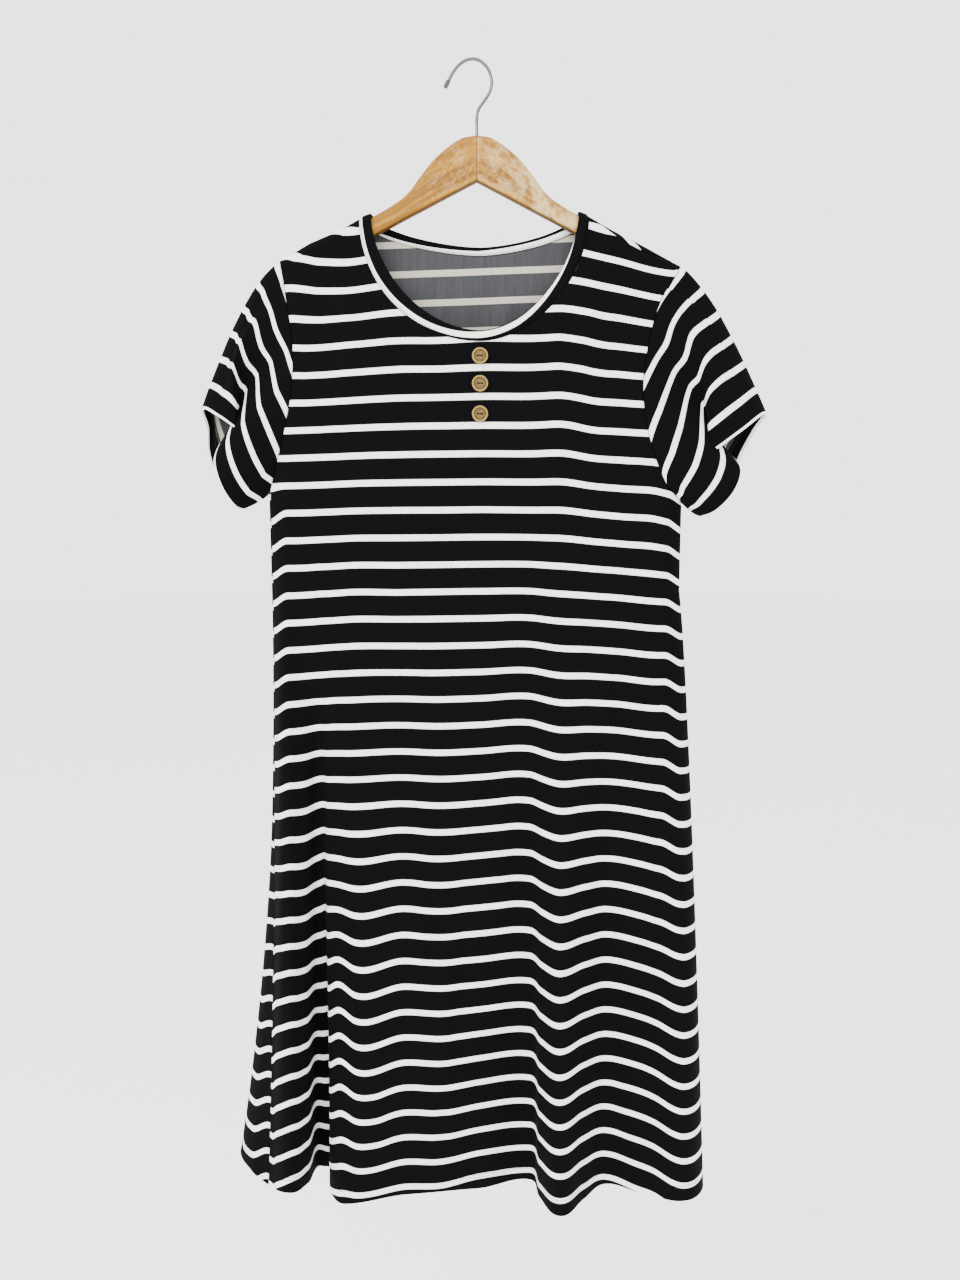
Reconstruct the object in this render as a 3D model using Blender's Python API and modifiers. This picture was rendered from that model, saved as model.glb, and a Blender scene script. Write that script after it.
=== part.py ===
"""Striped jersey tunic dress hung on a wooden hanger with a wire hook.

Frame: X to the right as seen from the front, Y from front to back, Z up, metres. Left and right
in names are as seen from the front. The origin is where a rail bears inside the hook. The hanger
and the flat of the dress lie in the plane Y = 0, the front of the dress towards -Y.
"""
import math

import bmesh
import bpy
import numpy as np
from mathutils import Vector

NAME = "tunic_dress_on_hanger"
MM = 0.001

# Cloth
WALL = 1.6 * MM
HEM_WALL = 2.2 * MM
BAND_EDGE_WALL = 2.4 * MM
BAND_CROWN = 0.55 * MM
SEAM_GAP = 0.3 * MM
HEM_DEPTH = 18 * MM

# Cloth over the hanger's top edge
ROLL = 9.4 * MM
SETTLE = 220 * MM
ROLL_STEPS = (3 * MM, 6 * MM, 9 * MM, 12 * MM, 15 * MM)
NECK_ROLL_STEPS = (3 * MM, 6 * MM, 9 * MM, 12.5 * MM)

# Two pieces that meet at a seam split their rims alike along this direction
RIM_ORDER = np.array((0.1, 0.3, 1.0))

# Fold growth down the skirt ends at this height
SKIRT_END = -1142 * MM

# Steps in which curves are walked, for each ring row and for a whole armhole
FINE_STEPS = 40
ARMHOLE_STEPS = 400

# Edges bent more than this, in degrees, stay sharp
SHARP_ANGLE = 40

# Ring round the body, from the left seam through the front to the right seam and back.
# Lengths are mm: place at the chest, place at the hem, height of the hem there, height where
# the fold starts, how late it grows, and the grid columns up to the next row.
RING_COLUMNS = ("name", "chest_x", "chest_y", "hem_x", "hem_y", "hem_z", "starts", "power", "columns")
FRONT_RING = (
    ("seam_left", -203, -6, -220, -30, -1122, -480, 1.6, 2),
    ("ridge_1", -189, -16, -194, -51, -1116, -430, 0.9, 2),
    ("slope_1", -173, -19, -179, -24, -1124, -480, 1.0, 2),
    ("valley_1", -159, -20, -168, 22, -1136, -560, 0.9, 2),
    ("lip_2", -147, -20, -156, -18, -1138, -560, 1.0, 1),
    ("ridge_2", -133, -20, -140, -33, -1141, -540, 1.1, 3),
    ("flat_2", -76, -20, -77, -22, -1138, -540, 1.0, 4),
    ("centre", 0, -20, 3, -4, -1144, -560, 1.0, 2),
    ("valley_3", 52, -20, 57, 10, -1144, -560, 0.9, 2),
    ("lip_3", 67, -20, 66, -18, -1144, -600, 1.2, 2),
    ("ridge_3", 83, -20, 86, -47, -1144, -560, 1.2, 2),
    ("slope_3", 107, -20, 112, -24, -1142, -520, 1.0, 2),
    ("valley_4", 133, -20, 138, -1, -1141, -560, 1.0, 2),
    ("rise_4", 160, -20, 174, -12, -1143, -520, 0.9, 2),
    ("ridge_4", 187, -16, 219, -35, -1136, -500, 0.8, 2),
    ("seam_right", 202, -3, 243, -8, -1138, -500, 0.8, 2),
)
BACK_RING = (
    ("back_side_right", 192, 12, 236, 27, -1142, -500, 0.8, 2),
    ("back_ridge_1", 172, 19, 212, 58, -1142, -500, 0.9, 1),
    ("back_valley_1", 147, 22, 186, 42, -1142, -540, 1.0, 2),
    ("back_ridge_2", 117, 22, 150, 66, -1142, -560, 1.1, 2),
    ("back_valley_2", 82, 21, 112, 44, -1142, -540, 1.0, 2),
    ("back_ridge_3", 42, 20, 64, 68, -1142, -600, 1.2, 2),
    ("back_valley_3", 0, 20, 14, 43, -1142, -560, 1.0, 2),
    ("back_ridge_4", -44, 20, -38, 64, -1142, -580, 1.1, 2),
    ("back_valley_4", -86, 21, -90, 47, -1140, -540, 1.0, 2),
    ("back_ridge_5", -122, 22, -140, 72, -1136, -560, 1.1, 2),
    ("back_valley_5", -152, 22, -186, 54, -1128, -540, 1.2, 2),
    ("back_ridge_6", -177, 19, -228, 58, -1120, -520, 1.6, 2),
    ("back_wrap", -195, 14, -256, 36, -1114, -500, 2.0, 1),
    ("back_edge", -203, 8, -264, 12, -1111, -500, 2.0, 1),
    ("back_return", -205.5, 1, -246, -14, -1114, -500, 1.9, 1),
)
RIGHT_SEAM = len(FRONT_RING) - 1
RING_COUNT = len(FRONT_RING) + len(BACK_RING)

# Top edge of the cloth over the hanger, mm
RIDGE_COLUMNS = ("name", "x", "z")
RIDGE = (
    ("left_end", -210, -195.0),
    ("left_tip", -190, -182.0),
    ("left_shoulder", -160, -165.0),
    ("left_slope", -131, -153.0),
    ("left_neck", -111, -142.0),
    ("left_inside", -98, -135.8),
    ("left_sweep", -80, -126.4),
    ("left_hollow", -66, -116.0),
    ("centre", 0, -112.0),
    ("right_hollow", 66, -116.0),
    ("right_sweep", 80, -126.4),
    ("right_inside", 93, -133.4),
    ("right_neck", 106, -140.0),
    ("right_slope", 130, -153.2),
    ("right_shoulder", 160, -168.0),
    ("right_tip", 195, -186.0),
    ("right_end", 210, -195.0),
)
SEAM_FORWARD_ENDS = 1.5 * MM
SEAM_FORWARD_LEFT = 2.0 * MM
SEAM_FORWARD_RIGHT = 8.0 * MM
SHOULDER_FROM = 107 * MM
SHOULDER_TO = 192 * MM

# Armhole seams as seen from the front, x and z in mm, from shoulder tip to underarm
ARMHOLE_LEFT = (
    ("tip", -188, -184),
    ("cap", -182, -222),
    ("inset", -177, -262),
    ("mid", -179, -305),
    ("curve", -187, -345),
    ("low", -197, -380),
    ("underarm", -204, -402),
)
ARMHOLE_RIGHT = (
    ("tip", 195, -188),
    ("cap", 176, -220),
    ("inset", 165, -258),
    ("mid", 160, -305),
    ("curve", 167, -350),
    ("low", 184, -393),
    ("underarm", 202, -412),
)
ARMHOLE_PARTS = (0.10, 0.17, 0.26, 0.37, 0.49, 0.61, 0.73, 0.83, 0.92)
SIDE_ROWS = 16

# Necklines: half widths either side of the neck's centre and height of the lowest point, mm
NECK_X = 3 * MM
NECK_COLUMNS = ("name", "left", "right", "lowest", "power_left", "power_right")
NECKLINES = (
    ("front_seam", 115, 104, -258.5, 2.0, 1.85),
    ("front_edge", 104, 94, -248.0, 1.85, 1.8),
    ("back_seam", 115, 104, -174.0, 1.6, 1.6),
    ("back_edge", 104, 94, -166.0, 1.6, 1.6),
)
FRONT_NECK_STEPS = 8
BACK_NECK_STEPS = 5
SHOULDER_STEPS = 4

# How late the back of the armhole turns in to meet the side seam
UNDERARM_POWER = 4

# Sleeves, one row for each named line from the armhole to the cuff.
# "edge" is the armhole point it starts from, counted from the shoulder through the front.
# The bend point pulls the line on its way; the cuff point is where it ends. Lengths are mm.
SLEEVE_COLUMNS = ("name", "edge", "bend_x", "bend_y", "bend_z", "cuff_x", "cuff_y", "cuff_z")
SLEEVE_LEFT = (
    ("top", 0, -224, 0, -201, -270, 0, -321),
    ("flap", 7, -229, -14, -216, -250, -13, -329),
    ("flap_edge", 8, -244, -22, -236, -231, -13, -342),
    ("valley", 9, -226, -4, -284, -239, 3, -336),
    ("corner", 10, -212, -24, -318, -254, -17, -366),
    ("front_low", 12, -219, -27, -362, -250, -22, -392),
    ("bottom", 13, -218, -20, -394, -238, -14, -415),
    ("underarm", 15, -215, -2, -413, -232, 2, -417),
    ("back_bottom", 17, -221, 20, -392, -250, 14, -406),
    ("back_low", 19, -226, 26, -352, -265, 21, -383),
    ("back_mid", 21, -229, 24, -300, -271, 22, -360),
    ("back_high", 23, -230, 15, -232, -269, 12, -338),
)
SLEEVE_RIGHT = (
    ("top", 0, 229, 0, -205, 284, 0, -325),
    ("flap", 7, 232, -15, -224, 256, -15, -343),
    ("flap_edge", 8, 230, -24, -240, 226, -14, -364),
    ("valley", 9, 222, -5, -294, 234, 3, -356),
    ("corner", 10, 203, -24, -344, 257, -14, -376),
    ("front_low", 12, 212, -26, -376, 253, -20, -398),
    ("bottom", 13, 212, -20, -406, 236, -14, -419),
    ("underarm", 15, 212, -2, -422, 222, 1, -425),
    ("back_bottom", 17, 216, 20, -408, 242, 14, -418),
    ("back_low", 19, 220, 26, -372, 258, 21, -396),
    ("back_mid", 21, 226, 24, -318, 264, 22, -370),
    ("back_high", 23, 232, 15, -240, 276, 12, -342),
)
SLEEVE_STATIONS = (0.0, 0.12, 0.28, 0.46, 0.64, 0.84, 1.0)

# Hanger arm, x from the centre, top and underside z, half thickness, mm
ARM_COLUMNS = ("name", "x", "top", "under", "half")
ARM = (
    ("joint", 0.15, -67.0, -109.0, 6.0),
    ("crown", 14, -69.5, -116.0, 6.0),
    ("brow", 28, -78.0, -123.1, 6.0),
    ("hump", 42, -90.0, -130.2, 6.0),
    ("neck", 54, -104.5, -136.3, 6.0),
    ("hollow", 66, -119.5, -142.3, 6.0),
    ("sweep", 80, -130.0, -149.4, 6.0),
    ("collar", 97, -139.4, -158.0, 5.7),
    ("slope", 130, -157.4, -175.0, 5.5),
    ("shoulder", 160, -172.0, -190.0, 5.5),
    ("tip", 184, -184.5, -203.0, 5.4),
    ("end", 192, -190.0, -203.0, 3.4),
)
ARM_CORNER = 5.0 * MM
ARM_ROUNDING = 0.88

# Hook wire, x and z in mm, from inside the wood up and over to the free end
WIRE_RADIUS = 1.5 * MM
HOOK_ROUTE = (
    (0, -86), (0, -67), (0, -50), (1.5, -43.5), (6, -37), (11.5, -29), (14, -20), (12, -10),
    (6.5, -2.5), (-1.5, 1.5), (-10, 0.5), (-17, -4), (-22.5, -10.5), (-26.5, -17.5),
)
HOOK_SEGMENTS = 3
WIRE_ROUNDING = 2
HOOK_HOLE_RADIUS = 1.9 * MM
HOOK_HOLE_BOTTOM = -88 * MM
HOOK_HOLE_TOP = -57 * MM
HOOK_HOLE_SIDES = 12
TIP_LENGTH = 7.5 * MM
TIP_RADIUS = 2.1 * MM
TIP_SIDES = 12

# Tip profile from its round end to its open end, as shares of the tip's radius and length
TIP_PROFILE = ((0, 1), (0.6, 0.96), (1, 0.75), (1, 0.15), (0.85, 0), (0, 0))

# Buttons
BUTTON_X = 3 * MM
BUTTON_HEIGHTS = (-272.5 * MM, -298.5 * MM, -327 * MM)
BUTTON_RADIUS = 7.75 * MM
BUTTON_THICKNESS = 3.2 * MM
BUTTON_SIDES = 24
BUTTON_HOLE_RADIUS = 0.95 * MM
BUTTON_HOLE_SPACING = 3.8 * MM
BUTTON_HOLE_SIDES = 10
BUTTON_STAND = 0.6 * MM

# Button profile from the dished middle over the raised rim to the back, as shares of the
# button's radius and thickness
BUTTON_PROFILE = ((0, 0.78), (0.66, 0.78), (0.78, 1), (0.92, 0.94), (1, 0.6), (0.94, 0.2),
                  (0.8, 0), (0, 0))

COLOURS = {
    "jersey": ((0.012, 0.012, 0.014), 0.85, 0.0),
    "band": ((0.62, 0.60, 0.57), 0.85, 0.0),
    "wood": ((0.46, 0.25, 0.085), 0.38, 0.0),
    "wire": ((0.66, 0.66, 0.66), 0.22, 1.0),
    "tip": ((0.03, 0.028, 0.026), 0.5, 0.0),
    "button": ((0.55, 0.36, 0.17), 0.5, 0.0),
}


def column(names, rows, name):
    """One named column of a table as an array."""
    place = names.index(name)
    return np.array([row[place] for row in rows], dtype=float)


def flow(points, at, closed=False):
    """Smooth curve through points at the given row positions.

    Between two rows it is a cubic whose end tangents are parallel to the chord between the
    neighbours of each row and as long as the piece itself, so close rows make no loops.
    """
    at = np.asarray(at, dtype=float)
    points = np.broadcast_to(points, (len(at),) + np.shape(points)[-2:])
    count = points.shape[1]
    before = np.roll(points, 1, axis=1)
    after = np.roll(points, -1, axis=1)
    if not closed:
        before[:, 0] = points[:, 0]
        after[:, -1] = points[:, -1]
    heading = after - before
    heading = heading / np.linalg.norm(heading, axis=2, keepdims=True)
    if closed:
        at = np.mod(at, count)
        index = np.minimum(at.astype(int), count - 1)
    else:
        index = np.clip(at.astype(int), 0, count - 2)
    part = (at - index)[:, None]
    here = index[:, None, None]
    there = ((index + 1) % count)[:, None, None]
    start = np.take_along_axis(points, here, axis=1)[:, 0]
    end = np.take_along_axis(points, there, axis=1)[:, 0]
    reach = np.linalg.norm(end - start, axis=1, keepdims=True)
    leave = np.take_along_axis(heading, here, axis=1)[:, 0] * reach
    arrive = np.take_along_axis(heading, there, axis=1)[:, 0] * reach
    square, cube = part ** 2, part ** 3
    return ((2 * cube - 3 * square + 1) * start + (cube - 2 * square + part) * leave
            + (3 * square - 2 * cube) * end + (cube - square) * arrive)


def ease(value):
    """Smooth step from 0 to 1."""
    value = np.clip(value, 0, 1)
    return value * value * (3 - 2 * value)


RING = FRONT_RING + BACK_RING
CHEST_X, CHEST_Y, HEM_X, HEM_Y, HEM_Z, STARTS = (
    column(RING_COLUMNS, RING, name) * MM
    for name in ("chest_x", "chest_y", "hem_x", "hem_y", "hem_z", "starts"))
POWER = column(RING_COLUMNS, RING, "power")
RIDGE_X = column(RIDGE_COLUMNS, RIDGE, "x") * MM
RIDGE_Z = column(RIDGE_COLUMNS, RIDGE, "z") * MM


def ridge(x):
    """Height of the cloth's top edge over the hanger at x."""
    return np.interp(x, RIDGE_X, RIDGE_Z)


def body_ring(around, height):
    """Point of the ring round the body at each height: chest places that move to hem places."""
    fall = (STARTS - height[:, None]) / (STARTS - SKIRT_END)
    grow = np.clip(fall, 0, 1.05) ** POWER
    x = CHEST_X + (HEM_X - CHEST_X) * grow
    y = CHEST_Y + (HEM_Y - CHEST_Y) * grow
    return flow(np.stack((x, y), axis=2), around, closed=True)


def body_surface(around, height):
    """Outer face of the body. Near its top edge the cloth turns over the hanger in a quarter
    round; above that edge, heights run down its other side."""
    shape = np.shape(around)
    around, height = np.ravel(around), np.ravel(height)
    x, y = body_ring(around, height).T
    below = ridge(x) - height
    other_side = np.where(below < 0, -1.0, 1.0)
    below = np.abs(below)
    turn = math.pi / 2 * np.clip(below / ROLL, 0, 1)
    held = np.minimum(1, ROLL / np.maximum(np.abs(y), 1e-9))
    share = held * np.sin(turn) + (1 - held) * ease((below - ROLL) / SETTLE)
    drop = np.where(below < ROLL, ROLL * (1 - np.cos(turn)), below)
    return np.stack((x, y * share * other_side, ridge(x) - drop), axis=1).reshape(shape + (3,))


def body_normal(around, height):
    """Outward normal of the body, from small steps along and down the cloth."""
    along, down = 1e-3, 1e-5
    across = body_surface(around + along, height) - body_surface(around - along, height)
    upward = body_surface(around, height + down) - body_surface(around, height - down)
    normal = np.cross(across, upward)
    return normal / np.linalg.norm(normal, axis=-1, keepdims=True)


FINE_AROUND = np.linspace(0, RING_COUNT, FINE_STEPS * RING_COUNT + 1)
FINE_CHEST = body_ring(FINE_AROUND, np.full(len(FINE_AROUND), STARTS.max()))
FINE_GIRTH = np.concatenate(([0], np.cumsum(np.linalg.norm(np.diff(FINE_CHEST, axis=0), axis=1))))


def around_at(x, front):
    """Place round the ring that lies at x on the front or back of the chest."""
    across, leftmost, rightmost = FINE_CHEST[:, 0], FINE_CHEST[:, 0].argmin(), FINE_CHEST[:, 0].argmax()
    if front:
        return np.interp(x, across[:rightmost], FINE_AROUND[:rightmost])
    return np.interp(x, across[rightmost:leftmost + 1][::-1], FINE_AROUND[rightmost:leftmost + 1][::-1])


def seam_forward(x):
    """How far the shoulder seam lies in front of the top edge, most at mid-shoulder."""
    place = np.clip((np.abs(x) - SHOULDER_FROM) / (SHOULDER_TO - SHOULDER_FROM), 0, 1)
    middle = np.where(x < 0, SEAM_FORWARD_LEFT, SEAM_FORWARD_RIGHT)
    return SEAM_FORWARD_ENDS + (middle - SEAM_FORWARD_ENDS) * np.sin(math.pi * place)


def armhole_line(rows, front):
    """Armhole seam as x and height, at the steps that both panels and the sleeve share."""
    points = np.array([row[1:] for row in rows], dtype=float) * MM
    fine = flow(points, np.linspace(0, len(rows) - 1, ARMHOLE_STEPS))
    length = np.concatenate(([0], np.cumsum(np.linalg.norm(np.diff(fine, axis=0), axis=1))))
    parts = tuple(part * length[-1] for part in ARMHOLE_PARTS)
    steps = np.array((0,) + ROLL_STEPS + parts + (length[-1],))
    x = np.interp(steps, length, fine[:, 0])
    z = np.interp(steps, length, fine[:, 1])
    start = seam_forward(x[0])
    top = ridge(x[0])
    side = 1 if front else -1
    spread = side * start + SEAM_GAP / 2 + steps * (1 - side * start / parts[0])
    return x, np.where(steps < parts[0], top - spread, z)


def neckline(name, front):
    """Neckline as x and height, from the left neck point to the right.

    Each side is a superellipse quarter: x = half width * cos(t)^(2/p), drop = full drop *
    sin(t)^(2/p). The first steps are short, where the cloth turns over the hanger.
    """
    line = next(dict(zip(NECK_COLUMNS, row)) for row in NECKLINES if row[0] == name)
    steps = FRONT_NECK_STEPS if front else BACK_NECK_STEPS
    halves = []
    for side, width, power in ((-1, line["left"], line["power_left"]),
                               (1, line["right"], line["power_right"])):
        width = side * width * MM
        point = NECK_X + width
        top = ridge(point)
        drop = top - line["lowest"] * MM
        forward = float(seam_forward(width))
        if front:
            first = forward + SEAM_GAP / 2 + np.array((0.0,) + NECK_ROLL_STEPS)
            over = np.zeros(0)
        else:
            first = np.array((0.0,) + NECK_ROLL_STEPS)
            over = np.array((forward - SEAM_GAP / 2,))
        angle = np.arcsin((first / drop) ** (power / 2))
        angle = np.concatenate((angle, np.linspace(angle[-1], math.pi / 2, steps + 1)[1:]))
        x = np.concatenate((np.full(len(over), point), NECK_X + width * np.cos(angle) ** (2 / power)))
        z = np.concatenate((top + over, top - drop * np.sin(angle) ** (2 / power)))
        halves.append(np.stack((x, z)))
    left, right = halves
    return np.concatenate((left, right[:, -2::-1]), axis=1)


def shoulder_line(x_tip, x_neck, front):
    """Shoulder seam between tip and neck point, ends included."""
    x = np.linspace(x_tip, x_neck, SHOULDER_STEPS + 1)
    side = 1 if front else -1
    return x, ridge(x) - side * seam_forward(x) - SEAM_GAP / 2


def hem_line(front):
    """Hem as places round the ring and heights, with each table row's number of columns."""
    first, last = (0, RIGHT_SEAM) if front else (RIGHT_SEAM, RING_COUNT)
    counts = column(RING_COLUMNS, RING, "columns").astype(int)
    around = [row + step / counts[row] for row in range(first, last) for step in range(counts[row])]
    around = np.array(around + [last], dtype=float)
    heights = flow(np.stack((np.arange(RING_COUNT) * MM, HEM_Z), axis=1), around, closed=True)[:, 1]
    return around, heights


def seam_inset(around, height, side):
    """Places round the ring that lie half a seam gap from a side seam."""
    step = 1e-3
    rate = np.linalg.norm(body_surface(around + step, height) - body_surface(around, height), axis=-1)
    return around + side * SEAM_GAP / 2 * step / rate


def armhole_girth(x, z, front, seam):
    """Chest girth along an armhole, drawn to the side seam's girth towards the underarm."""
    girth = np.interp(around_at(x, front), FINE_AROUND, FINE_GIRTH)
    down = (z[0] - z) / (z[0] - z[-1])
    return girth + down ** UNDERARM_POWER * (seam - girth[-1])


def panel_domain(front):
    """Grid of places round the ring and heights that fills one panel.

    The upper rows blend shoulder, neck and shoulder above with the underarm row below, in chest
    girth and height; the armholes pull only the columns under their own shoulder seam. The
    lower rows run down straight columns, so that these follow the folds to the hem.
    """
    neck_x, neck_z = neckline("front_seam" if front else "back_seam", front)
    arms = [armhole_line(rows, front) for rows in (ARMHOLE_LEFT, ARMHOLE_RIGHT)]
    left_x, left_z = shoulder_line(arms[0][0][0], neck_x[0], front)
    right_x, right_z = shoulder_line(neck_x[-1], arms[1][0][0], front)
    top_x = np.concatenate((left_x[:-1], neck_x, right_x[1:]))
    top_z = np.concatenate((left_z[:-1], neck_z, right_z[1:]))
    seams = (0, RIGHT_SEAM) if front else (RIGHT_SEAM, RING_COUNT)
    if not front:
        top_x, top_z = top_x[::-1], top_z[::-1]
        arms = arms[::-1]
    hem_around, hem_z = hem_line(front)
    if len(top_x) != len(hem_around):
        raise ValueError(f"{len(top_x)} columns at the neck but {len(hem_around)} at the hem")
    top = np.interp(around_at(top_x, front), FINE_AROUND, FINE_GIRTH)
    hem = np.interp(hem_around, FINE_AROUND, FINE_GIRTH)
    start, end = (armhole_girth(x, z, front, seam) for (x, z), seam in zip(arms, (hem[0], hem[-1])))
    start_z, end_z = arms[0][1], arms[1][1]
    down = ((start_z[0] - start_z) / (start_z[0] - start_z[-1]))[:, None]
    across = (hem - hem[0]) / (hem[-1] - hem[0])
    number = np.arange(len(top))
    near_start = np.clip(1 - number / SHOULDER_STEPS, 0, 1)
    underarm_z = start_z[-1] + across * (end_z[-1] - start_z[-1])
    girth = (1 - down) * top + down * hem
    girth += near_start * (start - girth[:, 0])[:, None] + near_start[::-1] * (end - girth[:, -1])[:, None]
    height = (1 - down) * top_z + down * underarm_z
    height += across * (end_z - height[:, -1])[:, None]
    lower = np.linspace(0, 1, SIDE_ROWS)[1:, None]
    lower_z = np.concatenate((underarm_z + lower * (hem_z + HEM_DEPTH - underarm_z), hem_z[None]))
    height = np.concatenate((height, lower_z))
    girth = np.concatenate((girth, np.broadcast_to(hem, lower_z.shape)))
    around = np.interp(girth, FINE_GIRTH, FINE_AROUND)
    for edge, seam, inward in ((0, seams[0], 1), (-1, seams[1], -1)):
        seam_z = height[-len(lower_z) - 1:, edge]
        around[-len(seam_z):, edge] = seam_inset(np.full(len(seam_z), float(seam)), seam_z, inward)
    return around, height


def cloth_wall(name, outer, inner, closed_around, material):
    """One closed wall between an outer and an inner grid of points, with rims on its edges."""
    rows, columns = outer.shape[:2]
    number = np.arange(rows * columns).reshape(rows, columns)
    if closed_around:
        number = np.concatenate((number, number[:, :1]), axis=1)
    corner, right = number[:-1, :-1].ravel(), number[:-1, 1:].ravel()
    below, beyond = number[1:, :-1].ravel(), number[1:, 1:].ravel()
    shift = rows * columns
    outside = np.concatenate((np.stack((corner, below, beyond), axis=1),
                              np.stack((corner, beyond, right), axis=1)))
    faces = [outside, outside[:, ::-1] + shift]
    top, bottom = number[0], number[-1]
    edges = [(top[:-1], top[1:]), (bottom[1:], bottom[:-1])]
    if not closed_around:
        edges += [(number[1:, 0], number[:-1, 0]), (number[:-1, -1], number[1:, -1])]
    points = np.concatenate((outer.reshape(-1, 3), inner.reshape(-1, 3)))
    for start, end in edges:
        first = (points[start] @ RIM_ORDER > points[end] @ RIM_ORDER)[:, None]
        faces.append(np.where(first, np.stack((start, end, end + shift), axis=1),
                              np.stack((start, end, start + shift), axis=1)))
        faces.append(np.where(first, np.stack((start, end + shift, start + shift), axis=1),
                              np.stack((end, end + shift, start + shift), axis=1)))
    mesh = bpy.data.meshes.new(name)
    mesh.from_pydata(points.tolist(), [], np.concatenate(faces).tolist())
    mesh.validate()
    return finish(name, mesh, material)


def finish(name, mesh, material):
    """Object in the part's collection, smooth but for its sharp edges, with its material."""
    body = bpy.data.objects.new(name, mesh)
    PART.objects.link(body)
    mesh.shade_smooth()
    mesh.set_sharp_from_angle(angle=math.radians(SHARP_ANGLE))
    mesh.materials.append(MATERIALS[material])
    return body


def make_panel(name, front):
    """Front or back panel: outer face on the body, inner face one wall behind it."""
    around, height = panel_domain(front)
    outer = body_surface(around, height)
    wall = np.full(outer.shape[:2] + (1,), WALL)
    wall[-2:] = HEM_WALL
    inner = outer - wall * body_normal(around, height)
    cloth_wall(name, outer, inner, False, "jersey")
    return outer, inner


def armhole_edges(front_grids, back_grids, left):
    """Armhole edge of both panels and the points beside it, once round from the shoulder
    through the front, as outer edge, outer points inside the panels and inner edge."""
    count = len(ROLL_STEPS) + len(ARMHOLE_PARTS) + 2
    near, beside = (0, 1) if left else (-1, -2)
    loops = []
    for grid, column_number in ((0, near), (0, beside), (1, near)):
        ahead = front_grids[grid][:count, column_number].copy()
        behind = back_grids[grid][:count, -1 - column_number].copy()
        if column_number == beside:
            ahead[-1] = front_grids[grid][count, near]
            behind[-1] = back_grids[grid][count, -1 - near]
        shoulder = (ahead[:1] + behind[:1]) / 2
        underarm = (ahead[-1:] + behind[-1:]) / 2
        loops.append(np.concatenate((shoulder, ahead[1:-1], underarm, behind[-2:0:-1])))
    return loops


def gap_beside(loop, towards):
    """Seam gap square to a closed loop of points, on the side of the given points."""
    tangent = np.roll(loop, -1, axis=0) - np.roll(loop, 1, axis=0)
    tangent = tangent / np.linalg.norm(tangent, axis=1, keepdims=True)
    away = towards - loop
    away = away - tangent * np.sum(away * tangent, axis=1, keepdims=True)
    return SEAM_GAP * away / np.linalg.norm(away, axis=1, keepdims=True)


def make_sleeve(name, rows, edges, side):
    """Sleeve: each line leaves the armhole, is pulled by its bend point and ends at the cuff,
    P = (1-s)^2 armhole + 2s(1-s) bend + s^2 cuff."""
    outer_edge, inside, inner_edge = edges
    count = len(outer_edge)
    marks = np.append(column(SLEEVE_COLUMNS, rows, "edge"), count)
    at = np.interp(np.arange(count), marks, np.arange(len(rows) + 1))
    bend, cuff = (flow(np.stack([column(SLEEVE_COLUMNS, rows, kind + axis) * MM
                                 for axis in ("_x", "_y", "_z")], axis=1), at, closed=True)
                  for kind in ("bend", "cuff"))
    gap = -gap_beside(outer_edge, inside)
    outer_edge, inner_edge = outer_edge + gap, inner_edge + gap
    s = np.array(SLEEVE_STATIONS)[:, None, None]
    outer = (1 - s) ** 2 * outer_edge + 2 * s * (1 - s) * bend + s ** 2 * cuff
    along = np.gradient(outer, axis=0)
    across = np.roll(outer, -1, axis=1) - np.roll(outer, 1, axis=1)
    normal = np.cross(across, -along) * -side
    normal = normal / np.linalg.norm(normal, axis=2, keepdims=True)
    wall = np.full(outer.shape[:2] + (1,), WALL)
    wall[-2:] = HEM_WALL
    inner = outer - wall * normal
    inner[0] = inner_edge
    if side > 0:
        outer, inner = outer[:, ::-1], inner[:, ::-1]
    cloth_wall(name, outer, inner, True, "jersey")


def make_neckband(front_grids, back_grids):
    """Bound neckband: one ring that fills the gap between the neck seam and the free edge."""
    loops = []
    for front, back in zip(front_grids, back_grids):
        ahead = front[0, SHOULDER_STEPS:-SHOULDER_STEPS]
        behind = back[0, SHOULDER_STEPS:-SHOULDER_STEPS]
        left = (ahead[:1] + behind[-1:]) / 2
        right = (ahead[-1:] + behind[:1]) / 2
        loops.append(np.concatenate((left, ahead[1:-1], right, behind[1:-1])))
    seam_outer, seam_inner = loops
    edge_places = []
    for name, front in (("front_edge", True), ("back_edge", False)):
        x, z = neckline(name, front)
        if not front:
            x, z = x[::-1], z[::-1]
        edge_places.append(np.stack((around_at(x, front), z), axis=1))
    ahead, behind = edge_places
    places = np.concatenate((ahead[:-1], behind[:-1]))
    edge_outer = body_surface(places[:, 0], places[:, 1])
    edge_normal = body_normal(places[:, 0], places[:, 1])
    gap = gap_beside(seam_outer, edge_outer)
    seam_outer = seam_outer + gap
    seam_inner = seam_inner + gap
    middle = (seam_outer + edge_outer) / 2 + edge_normal * BAND_CROWN
    middle_inner = middle - edge_normal * BAND_EDGE_WALL
    edge_inner = edge_outer - edge_normal * BAND_EDGE_WALL
    outer = np.stack((edge_outer, middle, seam_outer))
    inner = np.stack((edge_inner, middle_inner, seam_inner))
    cloth_wall("neckband", outer, inner, True, "band")


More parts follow.
